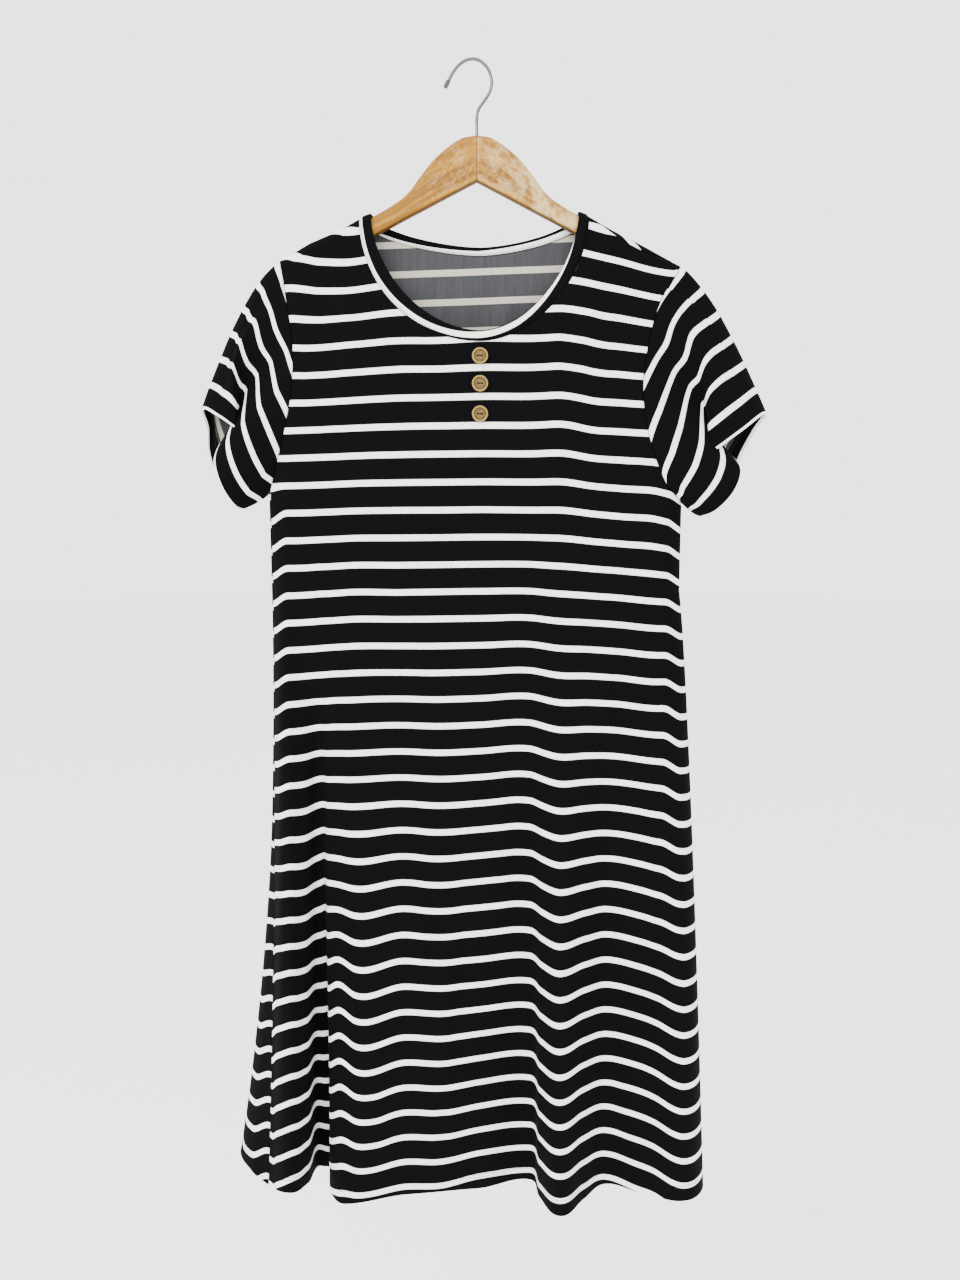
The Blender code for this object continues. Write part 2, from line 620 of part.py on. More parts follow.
def make_arm(name, side):
    """Hanger arm: rounded upright sections from the centre joint to the tip, lofted."""
    x, top, under, half = (column(ARM_COLUMNS, ARM, key) * MM for key in ("x", "top", "under", "half"))
    at = np.linspace(0, len(ARM) - 1, 2 * len(ARM) - 1)
    line = flow(np.stack((x, top, under, half), axis=1), at)
    angle = np.radians((0, 45, 90, 90, 135, 180, 180, 225, 270, 270, 315, 360))
    y_side = np.array((1,) * 3 + (-1,) * 6 + (1,) * 3)
    z_side = np.array((1,) * 6 + (-1,) * 6)
    middle, tall, thick = (line[:, 1] + line[:, 2]) / 2, (line[:, 1] - line[:, 2]) / 2, line[:, 3]
    corner = np.minimum(ARM_CORNER, ARM_ROUNDING * thick)[:, None]
    y = y_side * (thick[:, None] - corner) + corner * np.cos(angle)
    z = middle[:, None] + z_side * (tall[:, None] - corner) + corner * np.sin(angle)
    points = np.stack((np.broadcast_to(side * line[:, :1], y.shape), y, z), axis=2)
    bm = bmesh.new()
    loops = [[bm.verts.new(point) for point in section] for section in points]
    for near, far in zip(loops[:-1], loops[1:]):
        for i in range(len(near)):
            j = (i + 1) % len(near)
            bm.faces.new((near[i], near[j], far[j], far[i]))
    bm.faces.new(loops[0])
    bm.faces.new(loops[-1])
    bmesh.ops.recalc_face_normals(bm, faces=bm.faces)
    mesh = bpy.data.meshes.new(name)
    bm.to_mesh(mesh)
    bm.free()
    arm = finish(name, mesh, "wood")
    cut = arm.modifiers.new("hook_hole", "BOOLEAN")
    cut.operation = "DIFFERENCE"
    cut.solver = "EXACT"
    cut.object = hook_hole()
    return arm


def hook_hole():
    """Cutter for the hole down the joint that the hook's stem stands in."""
    existing = bpy.data.objects.get("hook_hole")
    if existing:
        return existing
    bpy.ops.mesh.primitive_cylinder_add(vertices=HOOK_HOLE_SIDES, radius=HOOK_HOLE_RADIUS,
                                        depth=HOOK_HOLE_TOP - HOOK_HOLE_BOTTOM,
                                        location=(0, 0, (HOOK_HOLE_TOP + HOOK_HOLE_BOTTOM) / 2))
    return to_cutters(bpy.context.object, "hook_hole")


def to_cutters(body, name):
    """Name a cutter and keep it out of the model."""
    body.name = name
    for collection in list(body.users_collection):
        collection.objects.unlink(body)
    CUTTERS.objects.link(body)
    body.hide_render = True
    body.display_type = "WIRE"
    return body


def hook_line():
    """Centre line of the hook wire."""
    route = np.array(HOOK_ROUTE, dtype=float) * MM
    line = flow(route, np.linspace(0, len(route) - 1, HOOK_SEGMENTS * (len(route) - 1) + 1))
    return np.stack((line[:, 0], np.zeros(len(line)), line[:, 1]), axis=1)


def make_wire(name, points, radius, material):
    """Round bar along points, with closed ends."""
    curve = bpy.data.curves.new(name, "CURVE")
    curve.dimensions = "3D"
    curve.bevel_depth = radius
    curve.bevel_resolution = WIRE_ROUNDING
    curve.use_fill_caps = True
    spline = curve.splines.new("POLY")
    spline.points.add(len(points) - 1)
    for point, place in zip(spline.points, points):
        point.co = (*place, 1.0)
    body = bpy.data.objects.new(name, curve)
    PART.objects.link(body)
    curve.materials.append(MATERIALS[material])
    return body


def turned(name, profile, steps, material):
    """Solid of revolution round local Z from a profile of radius and height, top to bottom."""
    bm = bmesh.new()
    verts = [bm.verts.new((radius, 0, height)) for radius, height in profile]
    for first, second in zip(verts[:-1], verts[1:]):
        bm.edges.new((first, second))
    mesh = bpy.data.meshes.new(name)
    bm.to_mesh(mesh)
    bm.free()
    body = finish(name, mesh, material)
    screw = body.modifiers.new("turn", "SCREW")
    screw.steps = steps
    screw.render_steps = steps
    screw.use_merge_vertices = True
    screw.merge_threshold = 0.00001
    screw.use_smooth_shade = True
    return body


def make_tip(line):
    """Dark cap on the hook's free end, in line with the wire."""
    heading = Vector(line[-1] - line[-2]).normalized()
    profile = [(share * TIP_RADIUS, height * TIP_LENGTH) for share, height in TIP_PROFILE]
    tip = turned("hook_tip", profile, TIP_SIDES, "tip")
    tip.rotation_euler = heading.to_track_quat("Z", "Y").to_euler()
    tip.location = Vector(line[-1]) + heading * SEAM_GAP


def make_button(name, height):
    """Two-hole button with a raised rim, lying on the front just below the neck."""
    around = around_at(np.array([BUTTON_X]), True)
    level = np.array([height])
    seat = body_surface(around, level)[0]
    normal = Vector(body_normal(around, level)[0])
    profile = [(share * BUTTON_RADIUS, level_share * BUTTON_THICKNESS)
               for share, level_share in BUTTON_PROFILE]
    button = turned(name, profile, BUTTON_SIDES, "button")
    button.rotation_euler = normal.to_track_quat("Z", "Y").to_euler()
    button.location = Vector(seat) + normal * BUTTON_STAND
    for number, side in enumerate((-1, 1)):
        bpy.ops.mesh.primitive_cylinder_add(vertices=BUTTON_HOLE_SIDES, radius=BUTTON_HOLE_RADIUS,
                                            depth=3 * BUTTON_THICKNESS)
        hole = to_cutters(bpy.context.object, f"{name}_hole_{number + 1}")
        hole.parent = button
        hole.location = (side * BUTTON_HOLE_SPACING / 2, 0, 0)
        cut = button.modifiers.new(f"hole_{number + 1}", "BOOLEAN")
        cut.operation = "DIFFERENCE"
        cut.solver = "EXACT"
        cut.object = hole


def make_materials():
    """One Principled material for each finish."""
    made = {}
    for name, (colour, roughness, metallic) in COLOURS.items():
        material = bpy.data.materials.new(name)
        material.use_nodes = True
        shader = material.node_tree.nodes["Principled BSDF"]
        shader.inputs["Base Color"].default_value = (*colour, 1.0)
        shader.inputs["Roughness"].default_value = roughness
        shader.inputs["Metallic"].default_value = metallic
        made[name] = material
    return made


def new_collection(name):
    """Collection linked to the scene."""
    collection = bpy.data.collections.new(name)
    bpy.context.scene.collection.children.link(collection)
    return collection


for leftover in list(bpy.data.objects):
    bpy.data.objects.remove(leftover, do_unlink=True)
PART = new_collection(NAME)
CUTTERS = new_collection("cutters")
MATERIALS = make_materials()

front_panel = make_panel("front_body", True)
back_panel = make_panel("back_body", False)
make_sleeve("sleeve_left", SLEEVE_LEFT, armhole_edges(front_panel, back_panel, True), -1)
make_sleeve("sleeve_right", SLEEVE_RIGHT, armhole_edges(front_panel, back_panel, False), 1)
make_neckband(front_panel, back_panel)
make_arm("hanger_arm_left", -1)
make_arm("hanger_arm_right", 1)
wire_line = hook_line()
make_wire("hook", wire_line, WIRE_RADIUS, "wire")
make_tip(wire_line)
for index, button_height in enumerate(BUTTON_HEIGHTS):
    make_button(f"button_{index + 1}", button_height)
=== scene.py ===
"""Looks of a striped jersey tunic dress that hangs on a wooden hanger with a wire hook.

Frame: X to the right as seen from the front, Y from front to back, Z up, metres. Left and right
in names are as seen from the front. The origin is where a rail bears inside the hook.
"""
import math

import bpy
import numpy as np
from bpy.props import FloatProperty, FloatVectorProperty, PointerProperty
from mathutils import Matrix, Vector


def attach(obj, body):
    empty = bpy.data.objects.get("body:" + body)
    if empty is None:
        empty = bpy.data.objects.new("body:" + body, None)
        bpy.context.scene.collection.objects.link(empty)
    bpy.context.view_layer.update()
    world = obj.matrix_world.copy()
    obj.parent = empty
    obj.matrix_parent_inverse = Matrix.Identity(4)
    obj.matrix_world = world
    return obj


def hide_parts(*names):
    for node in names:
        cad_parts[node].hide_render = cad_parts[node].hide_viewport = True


bl_info = {
    "name": "Tunic Dress on a Hanger",
    "version": (1, 0, 0),
    "blender": (4, 5, 0),
    "location": "3D View > Sidebar > Dress",
    "description": "Builds a striped jersey dress on its wooden hanger, piece by piece",
    "category": "Object",
}

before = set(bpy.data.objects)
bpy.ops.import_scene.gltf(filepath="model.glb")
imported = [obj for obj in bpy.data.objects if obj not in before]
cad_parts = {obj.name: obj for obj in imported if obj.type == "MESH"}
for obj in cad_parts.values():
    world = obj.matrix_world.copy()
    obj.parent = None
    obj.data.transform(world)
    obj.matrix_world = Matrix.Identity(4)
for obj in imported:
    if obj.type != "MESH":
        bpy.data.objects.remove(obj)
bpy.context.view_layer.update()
BODY = "root"
MM = 0.001

# Every step of the part's own grid is split into this many
SPLIT = 6

# Points to a ring row and along an armhole where their lengths are measured
FINE_STEPS = 40
ARMHOLE_STEPS = 400

# Steps to each side over which the body's slope is measured: ring rows and metres
STEP_AROUND = 1e-3
STEP_DOWN = 1e-5

SEAM_GAP = 0.3 * MM

# The turned-up hem, and the width over which the cloth thickens into it
HEM_DEPTH = 18 * MM
HEM_STEP = 2 * MM

# Cloth over the hanger's top edge: radius of the turn, the depth below it by which the cloth
# has spread to the ring, and the first steps of armholes and necklines
ROLL = 9.4 * MM
SETTLE = 220 * MM
ROLL_STEPS = (3 * MM, 6 * MM, 9 * MM, 12 * MM, 15 * MM)
NECK_ROLL_STEPS = (3 * MM, 6 * MM, 9 * MM, 12.5 * MM)

# Fold growth down the skirt is full at this height, and goes on to this share below it
SKIRT_END = -1142 * MM
FULL_GROWTH = 1.05

# Ring round the body, from the left seam through the front to the right seam and back.
# Lengths are mm: place at the chest, place at the hem, height of the hem there, height where
# the fold starts, how late it grows, and the grid columns up to the next row.
RING_COLUMNS = ("name", "chest_x", "chest_y", "hem_x", "hem_y", "hem_z", "starts", "power", "columns")
FRONT_RING = (
    ("seam_left", -203, -6, -220, -30, -1122, -480, 1.6, 2),
    ("ridge_1", -189, -16, -194, -51, -1116, -430, 0.9, 2),
    ("slope_1", -173, -19, -179, -24, -1124, -480, 1.0, 2),
    ("valley_1", -159, -20, -168, 22, -1136, -560, 0.9, 2),
    ("lip_2", -147, -20, -156, -18, -1138, -560, 1.0, 1),
    ("ridge_2", -133, -20, -140, -33, -1141, -540, 1.1, 3),
    ("flat_2", -76, -20, -77, -22, -1138, -540, 1.0, 4),
    ("centre", 0, -20, 3, -4, -1144, -560, 1.0, 2),
    ("valley_3", 52, -20, 57, 10, -1144, -560, 0.9, 2),
    ("lip_3", 67, -20, 66, -18, -1144, -600, 1.2, 2),
    ("ridge_3", 83, -20, 86, -47, -1144, -560, 1.2, 2),
    ("slope_3", 107, -20, 112, -24, -1142, -520, 1.0, 2),
    ("valley_4", 133, -20, 138, -1, -1141, -560, 1.0, 2),
    ("rise_4", 160, -20, 174, -12, -1143, -520, 0.9, 2),
    ("ridge_4", 187, -16, 219, -35, -1136, -500, 0.8, 2),
    ("seam_right", 202, -3, 243, -8, -1138, -500, 0.8, 2),
)
BACK_RING = (
    ("back_side_right", 192, 12, 236, 27, -1142, -500, 0.8, 2),
    ("back_ridge_1", 172, 19, 212, 58, -1142, -500, 0.9, 1),
    ("back_valley_1", 147, 22, 186, 42, -1142, -540, 1.0, 2),
    ("back_ridge_2", 117, 22, 150, 66, -1142, -560, 1.1, 2),
    ("back_valley_2", 82, 21, 112, 44, -1142, -540, 1.0, 2),
    ("back_ridge_3", 42, 20, 64, 68, -1142, -600, 1.2, 2),
    ("back_valley_3", 0, 20, 14, 43, -1142, -560, 1.0, 2),
    ("back_ridge_4", -44, 20, -38, 64, -1142, -580, 1.1, 2),
    ("back_valley_4", -86, 21, -90, 47, -1140, -540, 1.0, 2),
    ("back_ridge_5", -122, 22, -140, 72, -1136, -560, 1.1, 2),
    ("back_valley_5", -152, 22, -186, 54, -1128, -540, 1.2, 2),
    ("back_ridge_6", -177, 19, -228, 58, -1120, -520, 1.6, 2),
    ("back_wrap", -195, 14, -256, 36, -1114, -500, 2.0, 1),
    ("back_edge", -203, 8, -264, 12, -1111, -500, 2.0, 1),
    ("back_return", -205.5, 1, -246, -14, -1114, -500, 1.9, 1),
)
RING = FRONT_RING + BACK_RING
RIGHT_SEAM = len(FRONT_RING) - 1
RING_COUNT = len(RING)

# Top edge of the cloth over the hanger, mm
RIDGE_COLUMNS = ("name", "x", "z")
RIDGE = (
    ("left_end", -210, -195.0),
    ("left_tip", -190, -182.0),
    ("left_shoulder", -160, -165.0),
    ("left_slope", -131, -153.0),
    ("left_neck", -111, -142.0),
    ("left_inside", -98, -135.8),
    ("left_sweep", -80, -126.4),
    ("left_hollow", -66, -116.0),
    ("centre", 0, -112.0),
    ("right_hollow", 66, -116.0),
    ("right_sweep", 80, -126.4),
    ("right_inside", 93, -133.4),
    ("right_neck", 106, -140.0),
    ("right_slope", 130, -153.2),
    ("right_shoulder", 160, -168.0),
    ("right_tip", 195, -186.0),
    ("right_end", 210, -195.0),
)

# How far the shoulder seam lies in front of that edge, at its ends and at its middle, and the
# distances from the centre between which it runs
SEAM_FORWARD_ENDS = 1.5 * MM
SEAM_FORWARD_LEFT = 2.0 * MM
SEAM_FORWARD_RIGHT = 8.0 * MM
SHOULDER_FROM = 107 * MM
SHOULDER_TO = 192 * MM

# Armhole seams as seen from the front, x and z in mm, from shoulder tip to underarm
ARMHOLE_LEFT = (
    ("tip", -188, -184),
    ("cap", -182, -222),
    ("inset", -177, -262),
    ("mid", -179, -305),
    ("curve", -187, -345),
    ("low", -197, -380),
    ("underarm", -204, -402),
)
ARMHOLE_RIGHT = (
    ("tip", 195, -188),
    ("cap", 176, -220),
    ("inset", 165, -258),
    ("mid", 160, -305),
    ("curve", 167, -350),
    ("low", 184, -393),
    ("underarm", 202, -412),
)

# Grid rows down the armhole, as shares of its length, and down the side seam
ARMHOLE_PARTS = (0.10, 0.17, 0.26, 0.37, 0.49, 0.61, 0.73, 0.83, 0.92)
SIDE_ROWS = 16

# Necklines: half widths either side of the neck's centre and height of the lowest point, mm
NECK_X = 3 * MM
NECK_COLUMNS = ("name", "left", "right", "lowest", "power_left", "power_right")
NECKLINES = (
    ("front_seam", 115, 104, -258.5, 2.0, 1.85),
    ("front_edge", 104, 94, -248.0, 1.85, 1.8),
    ("back_seam", 115, 104, -174.0, 1.6, 1.6),
    ("back_edge", 104, 94, -166.0, 1.6, 1.6),
)
FRONT_NECK_STEPS = 8
BACK_NECK_STEPS = 5
SHOULDER_STEPS = 4

# How late an armhole's columns are drawn to the side seam
UNDERARM_POWER = 4

# Sleeves, one row for each named line from the armhole to the cuff.
# "edge" is the armhole point it starts from, counted from the shoulder through the front.
# The bend point pulls the line on its way; the cuff point is where it ends. Lengths are mm.
SLEEVE_COLUMNS = ("name", "edge", "bend_x", "bend_y", "bend_z", "cuff_x", "cuff_y", "cuff_z")
SLEEVE_LEFT = (
    ("top", 0, -224, 0, -201, -270, 0, -321),
    ("flap", 7, -229, -14, -216, -250, -13, -329),
    ("flap_edge", 8, -244, -22, -236, -231, -13, -342),
    ("valley", 9, -226, -4, -284, -239, 3, -336),
    ("corner", 10, -212, -24, -318, -254, -17, -366),
    ("front_low", 12, -219, -27, -362, -250, -22, -392),
    ("bottom", 13, -218, -20, -394, -238, -14, -415),
    ("underarm", 15, -215, -2, -413, -232, 2, -417),
    ("back_bottom", 17, -221, 20, -392, -250, 14, -406),
    ("back_low", 19, -226, 26, -352, -265, 21, -383),
    ("back_mid", 21, -229, 24, -300, -271, 22, -360),
    ("back_high", 23, -230, 15, -232, -269, 12, -338),
)
SLEEVE_RIGHT = (
    ("top", 0, 229, 0, -205, 284, 0, -325),
    ("flap", 7, 232, -15, -224, 256, -15, -343),
    ("flap_edge", 8, 230, -24, -240, 226, -14, -364),
    ("valley", 9, 222, -5, -294, 234, 3, -356),
    ("corner", 10, 203, -24, -344, 257, -14, -376),
    ("front_low", 12, 212, -26, -376, 253, -20, -398),
    ("bottom", 13, 212, -20, -406, 236, -14, -419),
    ("underarm", 15, 212, -2, -422, 222, 1, -425),
    ("back_bottom", 17, 216, 20, -408, 242, 14, -418),
    ("back_low", 19, 220, 26, -372, 258, 21, -396),
    ("back_mid", 21, 226, 24, -318, 264, 22, -370),
    ("back_high", 23, 232, 15, -240, 276, 12, -342),
)

# Hanger arm, x from the centre, top and underside z, half thickness, mm
ARM_COLUMNS = ("name", "x", "top", "under", "half")
ARM = (
    ("joint", 0.01, -67.0, -109.0, 6.0),
    ("crown", 14, -69.5, -116.0, 6.0),
    ("brow", 28, -78.0, -123.1, 6.0),
    ("hump", 42, -90.0, -130.2, 6.0),
    ("neck", 54, -104.5, -136.3, 6.0),
    ("hollow", 66, -119.5, -142.3, 6.0),
    ("sweep", 80, -130.0, -149.4, 6.0),
    ("collar", 97, -139.4, -158.0, 5.7),
    ("slope", 130, -157.4, -175.0, 5.5),
    ("shoulder", 160, -172.0, -190.0, 5.5),
    ("tip", 184, -184.5, -203.0, 5.4),
    ("end", 192, -190.0, -203.0, 3.4),
)

# Radius of an arm's corners, and the largest share of its half thickness that they take
ARM_CORNER = 5.0 * MM
ARM_ROUNDING = 0.88

# Hook wire, x and z in mm, from inside the wood up and over to the free end
WIRE_RADIUS = 1.5 * MM
HOOK_ROUTE = (
    (0, -86), (0, -67), (0, -50), (1.5, -43.5), (6, -37), (11.5, -29), (14, -20), (12, -10),
    (6.5, -2.5), (-1.5, 1.5), (-10, 0.5), (-17, -4), (-22.5, -10.5), (-26.5, -17.5),
)

# The cap's heading is taken from the wire in the part's own steps
TIP_WIRE_SPLIT = 3
TIP_LENGTH = 7.5 * MM
TIP_RADIUS = 2.1 * MM

# Cap's outline from the wire to its end, as shares of its radius and length
TIP_PROFILE = ((0, 1), (0.35, 0.99), (0.68, 0.94), (0.92, 0.84), (1, 0.70), (1, 0.15), (0.96, 0.05),
               (0.85, 0), (0.6, 0.0), (0, 0))

# Buttons: places, sizes and how far each is turned, in radians
BUTTON_X = 3 * MM
BUTTON_HEIGHTS = (-272.5 * MM, -298.5 * MM, -327 * MM)
BUTTON_RADIUS = 7.75 * MM
BUTTON_THICKNESS = 3.2 * MM
BUTTON_HOLE_SPACING = 3.8 * MM
BUTTON_TURNS = (0.1, 0.63, 0.25)
BUTTON_STAND = 0.6 * MM

# Section of a button as shares of its radius and thickness: face, then rim and back
BUTTON_FACE = ((0, 0.78), (0.64, 0.78), (0.72, 0.80), (0.79, 1.0), (0.88, 0.97), (0.95, 0.88))
BUTTON_FACE_WIDE = 0.90
BUTTON_RIM = ((0.94, 0.93), (0.97, 0.84), (0.99, 0.72), (1.0, 0.58), (0.99, 0.42), (0.965, 0.28),
              (0.93, 0.14), (0.86, 0.04), (0.78, 0.0), (0.4, 0.0), (0.04, 0.0))

# Carving: its depth, five petals whose line swings outwards from one share of the radius by
# another, spokes between them, and a ring, each with the half width of its line
PETALS = 5
CARVING_DEPTH = 0.22 * MM
PETAL_INNER = 0.34
PETAL_SWING = 0.26
PETAL_ROUNDNESS = 0.7
PETAL_LINE = 0.055
SPOKE_LINE = 0.50 * MM
SPOKE_SHARE = 0.8
SPOKE_INNER = 1.6 * MM
SPOKE_INNER_WIDTH = 0.8 * MM
SPOKE_OUTER = 0.52
SPOKE_OUTER_WIDTH = 1 * MM
RING_PLACE = 0.70
RING_LINE = 0.050

# Holes: radius at the bottom, width of the slope up to the face, depth as a share of the
# button's thickness
HOLE_RADIUS = 0.75 * MM
HOLE_SLOPE = 0.3 * MM
HOLE_DEPTH = 0.62

# Thread: two strands, shifted to either side of the middle and leaning a little, that arch
# from hole to hole; their height is a share of the button's thickness
THREAD_RADIUS = 0.33 * MM
THREAD_SHIFTS = (-0.3 * MM, 0.32 * MM)
THREAD_LEAN = 0.1 * MM
THREAD_LOW = 0.35
THREAD_ARCH = 0.46
THREAD_ARCH_POWER = 0.35
THREAD_REACH = 0.98
THREAD_STEPS = 24
THREAD_SIDES = 10

# Stripes: height of one white stripe's middle on each panel, and a table in mm of how far the
# stripes droop below level at the sides of the front
FRONT_STRIPE = -365 * MM
BACK_STRIPE = -187 * MM
DROOP_COLUMNS = ("name", "z", "left", "right")
DROOP = (
    ("over_shoulder", -135, 2, 56),
    ("top_edge", -150, 2, 34),
    ("shoulder", -180, 3, 26),
    ("upper_chest", -220, 5, 20),
    ("chest", -250, 7, 17),
    ("armhole", -280, 6, 13),
    ("lower_armhole", -310, 5, 10.5),
    ("underarm", -340, 4, 9.5),
    ("skirt", -800, 4, 12),
    ("hem", -1140, 0, 6),
)

# Where the droop starts from the middle, and the width over which it comes in
LEFT_DROOP_FROM = 60 * MM
LEFT_DROOP_WIDTH = 130 * MM
RIGHT_DROOP_FROM = 75 * MM
RIGHT_DROOP_WIDTH = 110 * MM

# A short dip beside each side seam: it comes in at the height of the underarm and loses a
# share of its depth down the skirt
EDGE_DIP = 9 * MM
EDGE_DIP_FROM = 185 * MM
EDGE_DIP_WIDTH = 20 * MM
EDGE_DIP_TOP = -385 * MM
EDGE_DIP_TOP_REACH = 40 * MM
EDGE_DIP_LOSS = 0.7
EDGE_DIP_LOSS_TOP = -620 * MM
EDGE_DIP_LOSS_REACH = 300 * MM

# How far the front's stripes hang below the curves above (less than 0) or above them, in mm, at
# places across the front and at a row of heights; the stripes sweep up over the folds' lips
WANDER_PLACES = (-213, -205, -191, -176, -163, -154, -143, -126, -76, -37, 3, 53, 83, 112, 142, 172,
                 192, 212)
WANDER = (
    ("upper_chest", -190, (0, 0, -3, -3, -5, -7, -8, -9, -4, -4, 0, 0, 1, 3, 5.5, 4.5, 3, 3)),
    ("chest", -260, (0, 0, -2, -2, -3, -3, -3, -3, -2, -2, 0, 0, 1, 0, 2, 3, 1, 1)),
    ("armhole", -340, (0, 0, -1, -1, -1, -1, -1, -1, -1, -0.5, 0, 0, 1, -2, 0, 1, -1, -1)),
    ("underarm", -420, (2, 2, 2, 2, 2, 2, 2, 2, 1, 1, 1.5, 1, 1, 0, 1, 2, -2, -2)),
    ("waist", -500, (3, 3, 3.5, 3.5, 4, 4.5, 4.5, 5, 3, 3.5, 4, 4, 1.5, 2, 4, 4, 3, 3)),
    ("hip", -600, (3, 3, 5, 5, 5.5, 6, 7, 7, 6, 5, 6, 8, 2.5, 5, 7, 6.5, 7.5, 6)),
    ("upper_skirt", -700, (-1, 4, 6, 4.5, 6, 8, 9, 8, 8, 5.5, 7, 9, 2, 6, 9, 9, 8, 6)),
    ("skirt", -800, (-6, 3, 6, 1.5, 3, 8.5, 9.5, 4, 7.5, 3, 5.5, 6, 0, 6, 10, 8.5, 6, 2)),
    ("lower_skirt", -900, (-14, -3, 4, -2, -4, 3, 12, 0.5, 5, 0.5, 1.5, 2, -3, 4.5, 7, 5, 2, -3)),
    ("low_folds", -1000, (-17, -5, 3, -4, -9, 0, 10, -1.5, 3, -1.5, 0.5, -0.5, -3, 3.5, 4.5, 3, -1, -6)),
    ("above_hem", -1100, (-15, -5, 2, -5.5, -12, -4, 3, -2.5, 1.5, -4, 0, -3.5, 0.5, 3.5, 1, -2, -4, -8)),
    ("hem", -1140, (-15, -5, 0, -4.5, -12, -4.5, -1, -2.5, 0, -4.5, 0, -3.5, 2, 3.5, 0, -4.5, -4.5, -8)),
)

# The same for the back's stripes where it wraps round to the left: at the side seam and beyond
WRAP_COLUMNS = ("name", "z", "at_seam", "beyond")
WRAP = (
    ("upper_skirt", -700, 0, 0),
    ("skirt", -790, 3, 0),
    ("lower_skirt", -870, 3.3, -3.8),
    ("low_folds", -950, 3.6, -6.8),
    ("above_hem", -1030, 3.6, -8),
    ("hem", -1140, 2, -12),
)

# Distance from the seam over which that change comes in, and where it starts to fade
WRAP_WIDTH = 28 * MM
WRAP_END = 1.4 * WRAP_WIDTH

# Behind the neck the back's stripes slope up to the right and lie a little lower; both are
# lost further down
BACK_TILT = 0.036
BACK_SINK = 1.5 * MM
BACK_TILT_END = -420 * MM
BACK_TILT_REACH = 120 * MM

# Sleeve stripes run parallel to the cuff: distance of one stripe from it, and a shift near
# the cuff that brings a white stripe to its edge
SLEEVE_STRIPE = 24.7 * MM
CUFF_WHITE = 2.6 * MM
CUFF_WHITE_REACH = 14 * MM

# On the flap the stripes run more level: they rise from the sleeve's top to the flap's edge,
# given as sleeve rows, and fall behind it; the rise fades at the armhole and at the cuff
FLAP_LIFT_LEFT = 12 * MM
FLAP_LIFT_RIGHT = 9 * MM
FLAP_TOP_ROW = 0.1
FLAP_EDGE_ROW = 1.9
FLAP_END_ROW = 2.7
FLAP_FADE_TOP = 0.35
FLAP_FADE_CUFF = 0.28

# Distance from the armhole to the cuff at heights of the armhole, mm
SLEEVE_LENGTH_COLUMNS = ("name", "z", "length")
SLEEVE_LENGTH_LEFT = (
    ("underarm", -402, 40), ("low", -393, 49), ("curve", -369.9, 76), ("mid", -331.4, 103),
    ("inset", -294.7, 129), ("cap", -243.5, 154), ("tip", -184, 165),
)
SLEEVE_LENGTH_RIGHT = (
    ("underarm", -412, 40), ("low", -409.7, 49), ("curve", -393.4, 76), ("mid", -354.6, 103),
    ("inset", -308.7, 129), ("cap", -255.5, 154), ("tip", -188, 165),
)

# White of the neckband once round from the left neck point through the front: place as a share
# of the front half (0 to 1) and back half (1 to 2), and where the white starts and ends across
# the band, in mm from the seam
BAND_WHITE_COLUMNS = ("name", "place", "from", "to")
BAND_WHITE = (
    ("left_neck", 0.0, -1.0, 3.0),
    ("left_chest", 0.25, -0.5, 3.8),
    ("left_low", 0.38, 1.0, 6.0),
    ("bottom", 0.5, 3.0, 9.0),
    ("right_low", 0.60, 5.0, 10.0),
    ("right_chest", 0.70, 9.4, 12.6),
    ("right_high", 0.82, 12.2, 13.0),
    ("right_neck", 0.92, 14.0, 15.0),
    ("right_neck_end", 1.02, 14.0, 15.0),
    ("back_right", 1.10, 0.8, 9.6),
    ("back_right_low", 1.3, 0.8, 8.0),
    ("back_bottom", 1.5, 0.4, 5.0),
    ("back_left_low", 1.7, 0.0, 3.4),
    ("back_left", 1.9, 0.0, 3.0),
    ("left_neck_again", 2.0, -1.0, 3.4),
)

# Creases and slack fade out this near to the seams of a panel and the ends of a sleeve
PANEL_FADE = 22 * MM
SLEEVE_FADE = 20 * MM

# Slack: height of its waves, and how much closer and lower they are on the sleeves
SLACK_RISE = 0.42 * MM
SLEEVE_SLACK_CLOSER = 1.7
SLEEVE_SLACK_SHARE = 0.9

# Creases wander by a share of their width and die away towards their ends
CREASE_WANDER = 0.25
CREASE_END = 2.6

